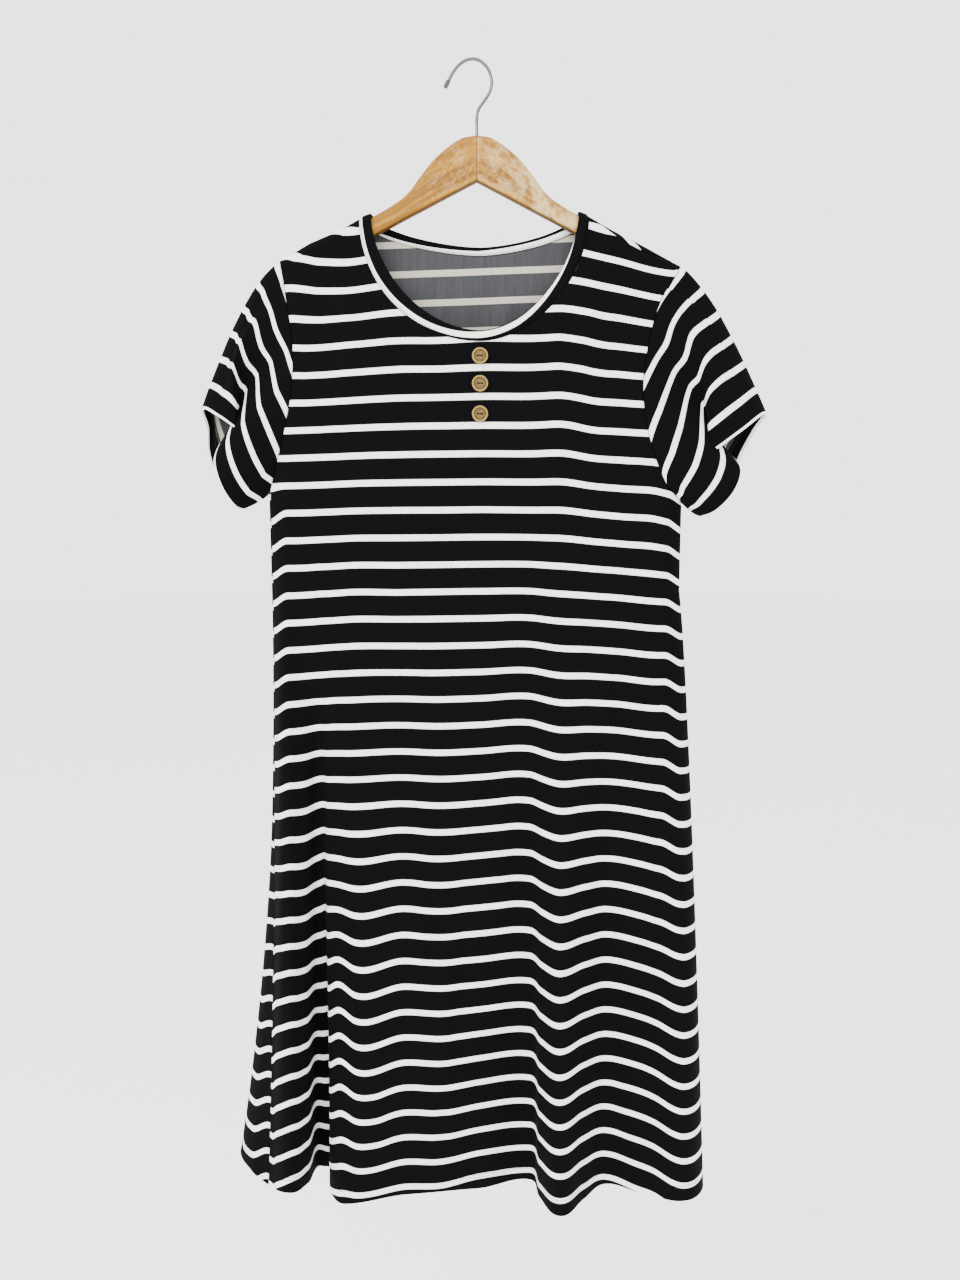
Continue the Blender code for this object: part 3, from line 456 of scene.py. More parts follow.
# Soft creases in the cloth, each along a line between two points, mm.
# A rise above 0 is a ridge and below 0 a trough.
CREASE_COLUMNS = ("name", "x1", "z1", "x2", "z2", "width", "rise")
FRONT_CREASES = (
    ("underarm_left_high", -188, -392, -118, -322, 6.5, 1.5),
    ("underarm_left_low", -192, -410, -112, -362, 8.0, -1.4),
    ("underarm_left_side", -196, -428, -150, -500, 7.0, 1.2),
    ("underarm_right_high", 182, -404, 112, -336, 6.5, 1.6),
    ("underarm_right_low", 190, -424, 104, -378, 8.0, -1.3),
    ("underarm_right_side", 194, -440, 150, -520, 7.0, 1.1),
    ("chest_right_fall", 108, -196, 100, -338, 7.0, 1.7),
    ("chest_right_hollow", 126, -190, 122, -330, 9.0, -1.5),
    ("chest_left_fall", -128, -200, -122, -320, 8.0, 1.1),
    ("chest_left_hollow", -146, -196, -150, -318, 9.0, -1.0),
    ("neck_left_pull", -96, -232, -62, -300, 7.0, 0.8),
    ("neck_right_pull", 84, -226, 70, -318, 7.0, 0.9),
    ("middle_kink", 78, -330, 66, -560, 8.0, 1.3),
    ("middle_hollow", 58, -360, 44, -580, 10.0, -1.1),
    ("waist_left", -150, -470, -120, -640, 9.0, 1.2),
    ("waist_middle", -38, -430, -52, -620, 10.0, 0.8),
    ("waist_right", 140, -470, 128, -650, 9.0, 1.1),
    ("skirt_left_1", -168, -600, -182, -860, 8.0, 1.2),
    ("skirt_left_2", -120, -640, -128, -900, 9.0, -1.2),
    ("skirt_middle_1", -48, -660, -60, -960, 9.0, 1.0),
    ("skirt_middle_2", -12, -700, -22, -1080, 7.0, -0.9),
    ("skirt_middle_3", 22, -640, 26, -900, 9.0, 1.1),
    ("skirt_right_1", 120, -640, 132, -960, 9.0, -1.1),
    ("skirt_right_2", 168, -620, 190, -930, 8.0, 1.2),
    ("hem_left", -100, -980, -104, -1122, 8.0, 1.0),
    ("hem_middle", -40, -1000, -34, -1126, 7.0, -0.8),
    ("hem_right", 152, -980, 160, -1124, 8.0, 1.0),
)
BACK_CREASES = (
    ("underarm_right_high", 184, -400, 120, -318, 7.0, 1.5),
    ("underarm_right_low", 188, -420, 110, -372, 8.0, -1.3),
    ("underarm_left_high", -186, -392, -122, -316, 7.0, 1.4),
    ("underarm_left_low", -190, -412, -112, -366, 8.0, -1.3),
    ("shoulder_right_fall", 118, -196, 108, -346, 8.0, 1.2),
    ("shoulder_left_fall", -120, -192, -110, -338, 8.0, 1.3),
    ("yoke_middle", 8, -200, -4, -360, 10.0, 0.9),
    ("waist_right", 96, -420, 108, -610, 9.0, 1.2),
    ("waist_middle", 22, -430, 30, -640, 10.0, -1.0),
    ("waist_left", -92, -420, -98, -600, 9.0, 1.1),
    ("skirt_right", 92, -620, 104, -900, 9.0, 1.1),
    ("skirt_middle", 30, -640, 40, -960, 9.0, -1.1),
    ("skirt_left", -66, -640, -72, -930, 9.0, 1.2),
    ("skirt_left_side", -160, -620, -192, -900, 9.0, 1.1),
    ("hem_right", 130, -980, 134, -1122, 8.0, 1.0),
    ("hem_left", -112, -980, -116, -1120, 8.0, 1.0),
)

# Stitching: the two rows' distance below the top of the hem, the spacing of their stitches,
# and the covered seam line's distance from the neckband's seam
HEM_ROWS = (1.5 * MM, 4.5 * MM)
STITCH_SPACING = 2.8 * MM
BAND_SEAM_LINE = 1.7 * MM

# Section of the neckband: half its thickness, the swell over its middle, how fast it widens
# from the seam, its gap there as a share of the seam gap, and the steps across one face and
# round the edge
BAND_HALF = 1.1 * MM
BAND_SWELL = 0.4 * MM
BAND_WIDENS = 3
BAND_GAP_SHARE = 0.35
BAND_FACE_STEPS = 10
BAND_EDGE_STEPS = 6

# Steps of the smooth pieces
SLEEVE_STEPS = 48
ARM_SPLIT = 12
ARM_CORNER_STEPS = 8
WIRE_SIDES = 32
WIRE_SPLIT = 12
TIP_SIDES = 48
TIP_SPLIT = 5
BUTTON_SIDES = 120
BUTTON_RINGS = 64

# Degrees above which an edge of a cloth piece, or of a round piece, is sharp
CLOTH_SHARP = 50
ROUND_SHARP = 40

# Stage and camera
CAMERA_PLACE = (0.003, -1.000, -0.422)
CAMERA_PITCH = 7.2
CAMERA_LENS = 28.125
CAMERA_SENSOR = 36.0
FLOOR_HEIGHT = -1.62
FLOOR_RADIUS = 14.0
FLOOR_RINGS = 24
FLOOR_SIDES = 72

# Lights: place and width of each, and the point that both look at
FRONT_LIGHT = ((-0.25, -3.0, 0.3), 2.6)
SIDE_LIGHT = ((-1.9, -2.0, 1.3), 1.6)
LIGHT_AIM = (0, 0, -0.55)


def column(names, rows, name):
    """One named column of a table as an array."""
    place = names.index(name)
    return np.array([row[place] for row in rows], dtype=float)


def flow(points, at, closed=False):
    """Smooth curve through points at the given row positions.

    Between two rows it is a cubic whose end tangents are parallel to the chord between the
    neighbours of each row and as long as the piece itself, so close rows make no loops.
    """
    at = np.asarray(at, dtype=float)
    points = np.broadcast_to(points, (len(at),) + np.shape(points)[-2:])
    count = points.shape[1]
    before = np.roll(points, 1, axis=1)
    after = np.roll(points, -1, axis=1)
    if not closed:
        before[:, 0] = points[:, 0]
        after[:, -1] = points[:, -1]
    heading = after - before
    heading = heading / np.linalg.norm(heading, axis=2, keepdims=True)
    if closed:
        at = np.mod(at, count)
        index = np.minimum(at.astype(int), count - 1)
    else:
        index = np.clip(at.astype(int), 0, count - 2)
    part = (at - index)[:, None]
    here = index[:, None, None]
    there = ((index + 1) % count)[:, None, None]
    start = np.take_along_axis(points, here, axis=1)[:, 0]
    end = np.take_along_axis(points, there, axis=1)[:, 0]
    reach = np.linalg.norm(end - start, axis=1, keepdims=True)
    leave = np.take_along_axis(heading, here, axis=1)[:, 0] * reach
    arrive = np.take_along_axis(heading, there, axis=1)[:, 0] * reach
    square, cube = part ** 2, part ** 3
    return ((2 * cube - 3 * square + 1) * start + (cube - 2 * square + part) * leave
            + (3 * square - 2 * cube) * end + (cube - square) * arrive)


def ease(value):
    """Smooth step from 0 to 1."""
    value = np.clip(value, 0, 1)
    return value * value * (3 - 2 * value)


def lengths(points, axis=0):
    """Distance walked along a line of points, or along one axis of a grid, from 0 at its start."""
    steps = np.linalg.norm(np.diff(points, axis=axis), axis=-1)
    return np.concatenate((np.zeros_like(np.take(steps, [0], axis=axis)), np.cumsum(steps, axis=axis)),
                          axis=axis)


CHEST_X, CHEST_Y, HEM_X, HEM_Y, HEM_Z, STARTS = (
    column(RING_COLUMNS, RING, name) * MM
    for name in ("chest_x", "chest_y", "hem_x", "hem_y", "hem_z", "starts"))
POWER = column(RING_COLUMNS, RING, "power")
RIDGE_X = column(RIDGE_COLUMNS, RIDGE, "x") * MM
RIDGE_Z = column(RIDGE_COLUMNS, RIDGE, "z") * MM


def ridge(x):
    """Height of the cloth's top edge over the hanger at x."""
    return np.interp(x, RIDGE_X, RIDGE_Z)


def body_ring(around, height):
    """Point of the ring round the body at each height: chest places that move to hem places."""
    fall = (STARTS - height[:, None]) / (STARTS - SKIRT_END)
    grow = np.clip(fall, 0, FULL_GROWTH) ** POWER
    x = CHEST_X + (HEM_X - CHEST_X) * grow
    y = CHEST_Y + (HEM_Y - CHEST_Y) * grow
    return flow(np.stack((x, y), axis=2), around, closed=True)


def body_surface(around, height):
    """Outer face of the body. Near its top edge the cloth turns over the hanger in a quarter
    round; above that edge, heights run down its other side."""
    shape = np.shape(around)
    around, height = np.ravel(around), np.ravel(height)
    x, y = body_ring(around, height).T
    below = ridge(x) - height
    other_side = np.where(below < 0, -1.0, 1.0)
    below = np.abs(below)
    turn = math.pi / 2 * np.clip(below / ROLL, 0, 1)
    held = np.minimum(1, ROLL / np.maximum(np.abs(y), 1e-9))
    share = held * np.sin(turn) + (1 - held) * ease((below - ROLL) / SETTLE)
    drop = np.where(below < ROLL, ROLL * (1 - np.cos(turn)), below)
    return np.stack((x, y * share * other_side, ridge(x) - drop), axis=1).reshape(shape + (3,))


def body_normal(around, height):
    """Outward normal of the body, from small steps along and down the cloth."""
    across = body_surface(around + STEP_AROUND, height) - body_surface(around - STEP_AROUND, height)
    upward = body_surface(around, height + STEP_DOWN) - body_surface(around, height - STEP_DOWN)
    normal = np.cross(across, upward)
    return normal / np.linalg.norm(normal, axis=-1, keepdims=True)


FINE_AROUND = np.linspace(0, RING_COUNT, FINE_STEPS * RING_COUNT + 1)
FINE_CHEST = body_ring(FINE_AROUND, np.full(len(FINE_AROUND), STARTS.max()))
FINE_GIRTH = lengths(FINE_CHEST)


def around_at(x, front):
    """Place round the ring that lies at x on the front or back of the chest."""
    across, leftmost, rightmost = FINE_CHEST[:, 0], FINE_CHEST[:, 0].argmin(), FINE_CHEST[:, 0].argmax()
    if front:
        return np.interp(x, across[:rightmost], FINE_AROUND[:rightmost])
    return np.interp(x, across[rightmost:leftmost + 1][::-1], FINE_AROUND[rightmost:leftmost + 1][::-1])


def seam_forward(x):
    """How far the shoulder seam lies in front of the top edge, most at mid-shoulder."""
    place = np.clip((np.abs(x) - SHOULDER_FROM) / (SHOULDER_TO - SHOULDER_FROM), 0, 1)
    middle = np.where(x < 0, SEAM_FORWARD_LEFT, SEAM_FORWARD_RIGHT)
    return SEAM_FORWARD_ENDS + (middle - SEAM_FORWARD_ENDS) * np.sin(math.pi * place)


def finer(values):
    """The same row of numbers with every step between two of them split into equal parts."""
    count = len(values)
    return np.interp(np.linspace(0, count - 1, (count - 1) * SPLIT + 1), np.arange(count), values)


def armhole_line(rows, front):
    """Armhole seam as x and height. The curve through the table's points is walked at the
    part's own steps, split finer; the first steps lie where the cloth turns over the hanger."""
    points = np.array([row[1:] for row in rows], dtype=float) * MM
    fine = flow(points, np.linspace(0, len(rows) - 1, ARMHOLE_STEPS))
    length = lengths(fine)
    parts = tuple(part * length[-1] for part in ARMHOLE_PARTS)
    steps = finer(np.array((0,) + ROLL_STEPS + parts + (length[-1],)))
    x = np.interp(steps, length, fine[:, 0])
    z = np.interp(steps, length, fine[:, 1])
    start = seam_forward(x[0])
    side = 1 if front else -1
    spread = side * start + SEAM_GAP / 2 + steps * (1 - side * start / parts[0])
    return x, np.where(steps < parts[0], ridge(x[0]) - spread, z)


def neckline(name, front):
    """Neckline as x and height, from the left neck point to the right.

    Each side is a superellipse quarter: x = half width * cos(t)^(2/p), drop = full drop *
    sin(t)^(2/p). The first steps are short, where the cloth turns over the hanger.
    """
    line = next(dict(zip(NECK_COLUMNS, row)) for row in NECKLINES if row[0] == name)
    steps = (FRONT_NECK_STEPS if front else BACK_NECK_STEPS) * SPLIT
    halves = []
    for side, width, power in ((-1, line["left"], line["power_left"]),
                               (1, line["right"], line["power_right"])):
        width = side * width * MM
        point = NECK_X + width
        top = ridge(point)
        drop = top - line["lowest"] * MM
        forward = float(seam_forward(width))
        first = finer(np.array((0.0,) + NECK_ROLL_STEPS))
        over = np.zeros(0)
        if front:
            first = first + forward + SEAM_GAP / 2
        else:
            over = finer(np.array((forward - SEAM_GAP / 2, 0.0)))[:-1]
        angle = np.arcsin((first / drop) ** (power / 2))
        angle = np.concatenate((angle, np.linspace(angle[-1], math.pi / 2, steps + 1)[1:]))
        x = np.concatenate((np.full(len(over), point), NECK_X + width * np.cos(angle) ** (2 / power)))
        z = np.concatenate((top + over, top - drop * np.sin(angle) ** (2 / power)))
        halves.append(np.stack((x, z)))
    left, right = halves
    return np.concatenate((left, right[:, -2::-1]), axis=1)


def shoulder_line(x_tip, x_neck, front):
    """Shoulder seam between tip and neck point, ends included."""
    x = np.linspace(x_tip, x_neck, SHOULDER_STEPS * SPLIT + 1)
    side = 1 if front else -1
    return x, ridge(x) - side * seam_forward(x) - SEAM_GAP / 2


def hem_line(front):
    """Hem as places round the ring and heights; each table row gives its number of columns."""
    first, last = (0, RIGHT_SEAM) if front else (RIGHT_SEAM, RING_COUNT)
    counts = column(RING_COLUMNS, RING, "columns").astype(int)
    around = [row + step / counts[row] for row in range(first, last) for step in range(counts[row])]
    around = finer(np.array(around + [last], dtype=float))
    heights = flow(np.stack((np.arange(RING_COUNT) * MM, HEM_Z), axis=1), around, closed=True)[:, 1]
    return around, heights


def seam_inset(around, height, side):
    """Places round the ring that lie half a seam gap from a side seam."""
    moved = body_surface(around + STEP_AROUND, height) - body_surface(around, height)
    return around + side * SEAM_GAP / 2 * STEP_AROUND / np.linalg.norm(moved, axis=-1)


def armhole_girth(x, z, front, seam):
    """Chest girth along an armhole, drawn to the side seam's girth towards the underarm."""
    girth = np.interp(around_at(x, front), FINE_AROUND, FINE_GIRTH)
    down = (z[0] - z) / (z[0] - z[-1])
    return girth + down ** UNDERARM_POWER * (seam - girth[-1])


def panel_domain(front):
    """Grid of places round the ring and heights that fills one panel.

    The upper rows blend shoulder, neck and shoulder above with the underarm row below, in chest
    girth and height; the armholes pull only the columns under their own shoulder seam. The
    lower rows run down straight columns, so that these follow the folds to the hem.
    """
    neck_x, neck_z = neckline("front_seam" if front else "back_seam", front)
    arms = [armhole_line(rows, front) for rows in (ARMHOLE_LEFT, ARMHOLE_RIGHT)]
    left_x, left_z = shoulder_line(arms[0][0][0], neck_x[0], front)
    right_x, right_z = shoulder_line(neck_x[-1], arms[1][0][0], front)
    top_x = np.concatenate((left_x[:-1], neck_x, right_x[1:]))
    top_z = np.concatenate((left_z[:-1], neck_z, right_z[1:]))
    seams = (0, RIGHT_SEAM) if front else (RIGHT_SEAM, RING_COUNT)
    if not front:
        top_x, top_z = top_x[::-1], top_z[::-1]
        arms = arms[::-1]
    hem_around, hem_z = hem_line(front)
    top = np.interp(around_at(top_x, front), FINE_AROUND, FINE_GIRTH)
    hem = np.interp(hem_around, FINE_AROUND, FINE_GIRTH)
    start, end = (armhole_girth(x, z, front, seam) for (x, z), seam in zip(arms, (hem[0], hem[-1])))
    start_z, end_z = arms[0][1], arms[1][1]
    down = ((start_z[0] - start_z) / (start_z[0] - start_z[-1]))[:, None]
    across = (hem - hem[0]) / (hem[-1] - hem[0])
    number = np.arange(len(top))
    near_start = np.clip(1 - number / (SHOULDER_STEPS * SPLIT), 0, 1)
    underarm_z = start_z[-1] + across * (end_z[-1] - start_z[-1])
    girth = (1 - down) * top + down * hem
    girth += near_start * (start - girth[:, 0])[:, None] + near_start[::-1] * (end - girth[:, -1])[:, None]
    height = (1 - down) * top_z + down * underarm_z
    height += across * (end_z - height[:, -1])[:, None]
    lower = np.linspace(0, 1, (SIDE_ROWS - 1) * SPLIT + 1)[1:, None]
    turned = np.linspace(1, 0, SPLIT + 1)[1:, None] * HEM_DEPTH
    lower_z = np.concatenate((underarm_z + lower * (hem_z + HEM_DEPTH - underarm_z), hem_z + turned))
    height = np.concatenate((height, lower_z))
    girth = np.concatenate((girth, np.broadcast_to(hem, lower_z.shape)))
    around = np.interp(girth, FINE_GIRTH, FINE_AROUND)
    for edge, seam, inward in ((0, seams[0], 1), (-1, seams[1], -1)):
        seam_z = height[-len(lower_z) - 1:, edge]
        around[-len(seam_z):, edge] = seam_inset(np.full(len(seam_z), float(seam)), seam_z, inward)
    return around, height


def creases(points, table, strength):
    """Height of the soft creases at each point. One crease rises by rise * exp(-(d / width)^2),
    d being the distance from its line, and dies away smoothly towards the line's two ends."""
    x, z = points[..., 0, None], points[..., 2, None]
    x1, z1, x2, z2, width, rise = (column(CREASE_COLUMNS, table, name) * MM
                                   for name in CREASE_COLUMNS[1:])
    long = np.hypot(x2 - x1, z2 - z1)
    part = ((x - x1) * (x2 - x1) + (z - z1) * (z2 - z1)) / long ** 2
    off = ((x - x1) * (z2 - z1) - (z - z1) * (x2 - x1)) / long
    # The line itself wanders a little, as cloth does
    off = off + CREASE_WANDER * width * np.sin(part * 9.0 + x1 * 170.0)
    ends = ease(np.minimum(part, 1 - part) * CREASE_END)
    return strength * np.sum(rise * np.exp(-(off / width) ** 2) * ends, axis=-1)


def slack(points, strength):
    """Slow unevenness of hung jersey: a sum of long sine waves that cross each other."""
    x, y, z = np.moveaxis(points, -1, 0) / MM
    wave = (np.sin(x / 19.0 + np.sin(z / 83.0) * 1.4) * np.sin(z / 118.0 + x / 61.0 + 0.6)
            + 0.6 * np.sin(x / 11.0 + z / 140.0 + 1.7) * np.sin(z / 67.0 - x / 90.0)
            + 0.4 * np.sin(x / 33.0 - z / 47.0 + y / 25.0))
    return strength * SLACK_RISE * wave


def grid_normal(points, closed=False):
    """Outward normal of a grid whose rows run down and whose columns run to the right, from
    the neighbours along both: across x up."""
    down = np.gradient(points, axis=0)
    if closed:
        across = np.roll(points, -1, axis=1) - np.roll(points, 1, axis=1)
    else:
        across = np.gradient(points, axis=1)
    normal = np.cross(across, -down)
    return normal / np.maximum(np.linalg.norm(normal, axis=-1, keepdims=True), 1e-12)


def droop(x, height):
    """How far a stripe of the front has sunk below level: the table's depth at this height,
    eased in from the middle outwards, and a short dip beside each side seam."""
    at = column(DROOP_COLUMNS, DROOP, "z")[::-1] * MM
    left = np.interp(height, at, column(DROOP_COLUMNS, DROOP, "left")[::-1]) * MM
    right = np.interp(height, at, column(DROOP_COLUMNS, DROOP, "right")[::-1]) * MM
    sunk = left * ease((-x - LEFT_DROOP_FROM) / LEFT_DROOP_WIDTH)
    sunk = sunk + right * ease((x - RIGHT_DROOP_FROM) / RIGHT_DROOP_WIDTH)
    dip = EDGE_DIP * ease((EDGE_DIP_TOP - height) / EDGE_DIP_TOP_REACH)
    dip = dip * (1 - EDGE_DIP_LOSS * ease((EDGE_DIP_LOSS_TOP - height) / EDGE_DIP_LOSS_REACH))
    return sunk + dip * ease((np.abs(x) - EDGE_DIP_FROM) / EDGE_DIP_WIDTH)


def wander(x, height):
    """How far a stripe of the front is raised at each point: linear between the table's heights
    and, across the front, cubic pieces whose slopes are those of the neighbouring places."""
    rows = sorted((z, values) for _, z, values in WANDER)
    at = np.array([z for z, _ in rows]) * MM
    values = np.array([row for _, row in rows]) * MM
    places = np.array(WANDER_PLACES) * MM
    level = np.stack([np.interp(height, at, one) for one in values.T], axis=-1)
    slope = np.gradient(level, places, axis=-1)
    index = np.clip(np.searchsorted(places, x) - 1, 0, len(places) - 2)
    wide = places[index + 1] - places[index]
    part = np.clip((x - places[index]) / wide, 0, 1)

    def taken(grid, shift):
        return np.take_along_axis(grid, (index + shift)[..., None], axis=-1)[..., 0]

    square, cube = part ** 2, part ** 3
    raised = (2 * cube - 3 * square + 1) * taken(level, 0) + (3 * square - 2 * cube) * taken(level, 1)
    return raised + wide * ((cube - 2 * square + part) * taken(slope, 0) + (cube - square) * taken(slope, 1))


def wrap(from_seam, height):
    """How far a stripe of the back is raised at a distance from the left side seam."""
    at = column(WRAP_COLUMNS, WRAP, "z")[::-1] * MM
    seam, beyond = (np.interp(height, at, column(WRAP_COLUMNS, WRAP, name)[::-1]) * MM
                    for name in ("at_seam", "beyond"))
    raised = seam + (beyond - seam) * ease(from_seam / WRAP_WIDTH)
    return raised * (1 - ease((from_seam - WRAP_END) / WRAP_WIDTH))


def wall_thickness(from_edge, sizes):
    """Thickness of the cloth at a distance from its free edge, more within the turned-up hem."""
    turned = 1 - ease((from_edge - HEM_DEPTH + HEM_STEP / 2) / HEM_STEP)
    return sizes.cloth_thickness + (sizes.hem_thickness - sizes.cloth_thickness) * turned


def panel(front, sizes):
    """Front or back panel: outer grid, inner grid and what the cloth's material needs.

    Outer face = body surface + normal * (creases + slack), both fading to nothing at the seams.
    The inner face lies one cloth's thickness behind.
    """
    around, height = panel_domain(front)
    base = body_surface(around, height)
    down, across = lengths(base, 0), lengths(base, 1)
    seam = np.minimum(np.minimum(down, across), across[:, -1:] - across)
    hem = down[-1:] - down
    fade = ease(seam / PANEL_FADE)
    rise = creases(base, FRONT_CREASES if front else BACK_CREASES, sizes.crease_strength)
    rise = rise + slack(base, sizes.crease_strength)
    outer = base + body_normal(around, height) * (rise * fade)[..., None]
    inner = outer - grid_normal(outer) * wall_thickness(hem, sizes)[..., None]
    if front:
        stripe = height - FRONT_STRIPE + droop(base[..., 0], height) - wander(base[..., 0], height)
    else:
        tilt = (BACK_TILT * base[..., 0] - BACK_SINK) * ease((height - BACK_TILT_END) / BACK_TILT_REACH)
        stripe = height - BACK_STRIPE - tilt - wrap(across[:, -1:] - across, height)
    return outer, inner, np.stack((stripe, seam, hem), axis=-1)


def armhole_edges(front_grids, back_grids, left):
    """Armhole edge of both panels and the points beside it, once round from the shoulder
    through the front, as outer edge, outer points inside the panels and inner edge."""
    count = (len(ROLL_STEPS) + len(ARMHOLE_PARTS) + 1) * SPLIT + 1
    near, beside = (0, 1) if left else (-1, -2)
    loops = []
    for grid, column_number in ((0, near), (0, beside), (1, near)):
        ahead = front_grids[grid][:count, column_number].copy()
        behind = back_grids[grid][:count, -1 - column_number].copy()
        if column_number == beside:
            ahead[-1] = front_grids[grid][count, near]
            behind[-1] = back_grids[grid][count, -1 - near]
        shoulder = (ahead[:1] + behind[:1]) / 2
        underarm = (ahead[-1:] + behind[-1:]) / 2
        loops.append(np.concatenate((shoulder, ahead[1:-1], underarm, behind[-2:0:-1])))
    return loops


def gap_beside(loop, towards):
    """Seam gap square to a closed loop of points, on the side of the given points."""
    tangent = np.roll(loop, -1, axis=0) - np.roll(loop, 1, axis=0)
    tangent = tangent / np.linalg.norm(tangent, axis=1, keepdims=True)
    away = towards - loop
    away = away - tangent * np.sum(away * tangent, axis=1, keepdims=True)
    return SEAM_GAP * away / np.linalg.norm(away, axis=1, keepdims=True)


def sleeve(rows, lengths_table, edges, side, sizes):
    """Sleeve grids: each line leaves the armhole, is pulled by its bend point and ends at the
    cuff, P = (1-s)^2 armhole + 2s(1-s) bend + s^2 cuff, with slack that fades at both ends."""
    outer_edge, inside, inner_edge = edges
    count = len(outer_edge)
    marks = np.append(column(SLEEVE_COLUMNS, rows, "edge") * SPLIT, count)
    at = np.interp(np.arange(count), marks, np.arange(len(rows) + 1))
    bend, cuff = (flow(np.stack([column(SLEEVE_COLUMNS, rows, kind + axis) * MM
                                 for axis in ("_x", "_y", "_z")], axis=1), at, closed=True)
                  for kind in ("bend", "cuff"))
    gap = -gap_beside(outer_edge, inside)
    outer_edge, inner_edge = outer_edge + gap, inner_edge + gap
    s = np.linspace(0, 1, SLEEVE_STEPS + 1)[:, None, None]
    outer = (1 - s) ** 2 * outer_edge + 2 * s * (1 - s) * bend + s ** 2 * cuff
    down = lengths(outer, 0)
    share = down / down[-1:]
    heights, reach = (column(SLEEVE_LENGTH_COLUMNS, lengths_table, name) * MM for name in ("z", "length"))
    hem = np.interp(outer_edge[:, 2], heights, reach) * (1 - share)
    fade = ease(down / SLEEVE_FADE) * ease((down[-1:] - down) / SLEEVE_FADE)
    lift = FLAP_LIFT_RIGHT if side > 0 else FLAP_LIFT_LEFT
    lift = lift * ease((at - FLAP_TOP_ROW) / (FLAP_EDGE_ROW - FLAP_TOP_ROW))
    lift = lift * (1 - ease((at - FLAP_EDGE_ROW) / (FLAP_END_ROW - FLAP_EDGE_ROW)))
    lift = lift * (ease(s / FLAP_FADE_TOP) * ease((1 - s) / FLAP_FADE_CUFF))[..., 0]
    lift = lift + CUFF_WHITE * (1 - ease(hem / CUFF_WHITE_REACH))
    if side > 0:
        outer, down, hem, fade, lift = (grid[:, ::-1] for grid in (outer, down, hem, fade, lift))
        inner_edge = inner_edge[::-1]
    rise = slack(outer * SLEEVE_SLACK_CLOSER, SLEEVE_SLACK_SHARE * sizes.crease_strength) * fade
    outer = outer + grid_normal(outer, closed=True) * rise[..., None]
    inner = outer - grid_normal(outer, closed=True) * wall_thickness(hem, sizes)[..., None]
    inner[0] = inner_edge
    return outer, inner, np.stack((hem - SLEEVE_STRIPE - lift, down, hem), axis=-1)


def neck_places():
    """Closed loop along the neckband's free edge, through the front: places round the ring and
    heights."""
    places = []
    for name, front in (("front_edge", True), ("back_edge", False)):
        x, z = neckline(name, front)
        if not front:
            x, z = x[::-1], z[::-1]
        places.append(np.stack((around_at(x, front), z), axis=1)[:-1])
    return np.concatenate(places)


def neckband(front_grids, back_grids):
    """Bound neckband as one closed tube: across the outer face from the seam to the free edge,
    round the edge and back across the inner face. The faces swell by swell * sin(pi w), w being
    the share of the way from the seam to the edge."""
    loops = []
    for front, back in zip(front_grids, back_grids):
        ahead = front[0, SHOULDER_STEPS * SPLIT:-SHOULDER_STEPS * SPLIT]
        behind = back[0, SHOULDER_STEPS * SPLIT:-SHOULDER_STEPS * SPLIT]
        left = (ahead[:1] + behind[-1:]) / 2
        right = (ahead[-1:] + behind[:1]) / 2
        loops.append(np.concatenate((left, ahead[1:-1], right, behind[1:-1])))
    seam_outer, seam_inner = loops
    places = neck_places()
    edge = body_surface(places[:, 0], places[:, 1])
    normal = body_normal(places[:, 0], places[:, 1])
    gap = BAND_GAP_SHARE * gap_beside(seam_outer, edge)
    seam_outer, seam_inner = seam_outer + gap, seam_inner + gap
    middle_seam = (seam_outer + seam_inner) / 2
    middle_edge = edge - normal * BAND_HALF
    seam_half = np.linalg.norm(seam_outer - seam_inner, axis=1, keepdims=True) / 2
    inward = middle_edge - middle_seam
    inward = inward / np.linalg.norm(inward, axis=1, keepdims=True)
    face = np.linspace(0, 1, BAND_FACE_STEPS + 1)[:, None, None]
    turn = np.linspace(0, math.pi, BAND_EDGE_STEPS + 1)[1:-1, None, None]
    stop = middle_edge - inward * BAND_HALF
    thick = seam_half + (BAND_HALF - seam_half) * ease(face * BAND_WIDENS)
    thick = thick + BAND_SWELL * np.sin(math.pi * face)
    line = middle_seam + (stop - middle_seam) * face
    rows = np.concatenate((line + normal * thick,
                           stop + BAND_HALF * (normal * np.cos(turn) + inward * np.sin(turn)),
                           (line - normal * thick)[::-1]))
    walked = np.linalg.norm(np.diff(rows, axis=0, prepend=rows[:1]), axis=2)
    wide = np.linalg.norm(edge - seam_outer, axis=1)
    across = np.minimum(np.cumsum(walked, axis=0), wide)
    across[BAND_FACE_STEPS + BAND_EDGE_STEPS:] = wide * face[::-1, :, 0]
    ahead, behind = len(neckline("front_seam", True)[0]) - 1, len(neckline("back_seam", False)[0]) - 1
    place = np.concatenate((np.arange(ahead) / ahead, 1 + np.arange(behind) / behind))
    starts, stops = (np.interp(place, column(BAND_WHITE_COLUMNS, BAND_WHITE, "place"),
                               column(BAND_WHITE_COLUMNS, BAND_WHITE, name) * MM) for name in ("from", "to"))
    return rows, np.stack(np.broadcast_arrays(across, starts, stops), axis=-1)


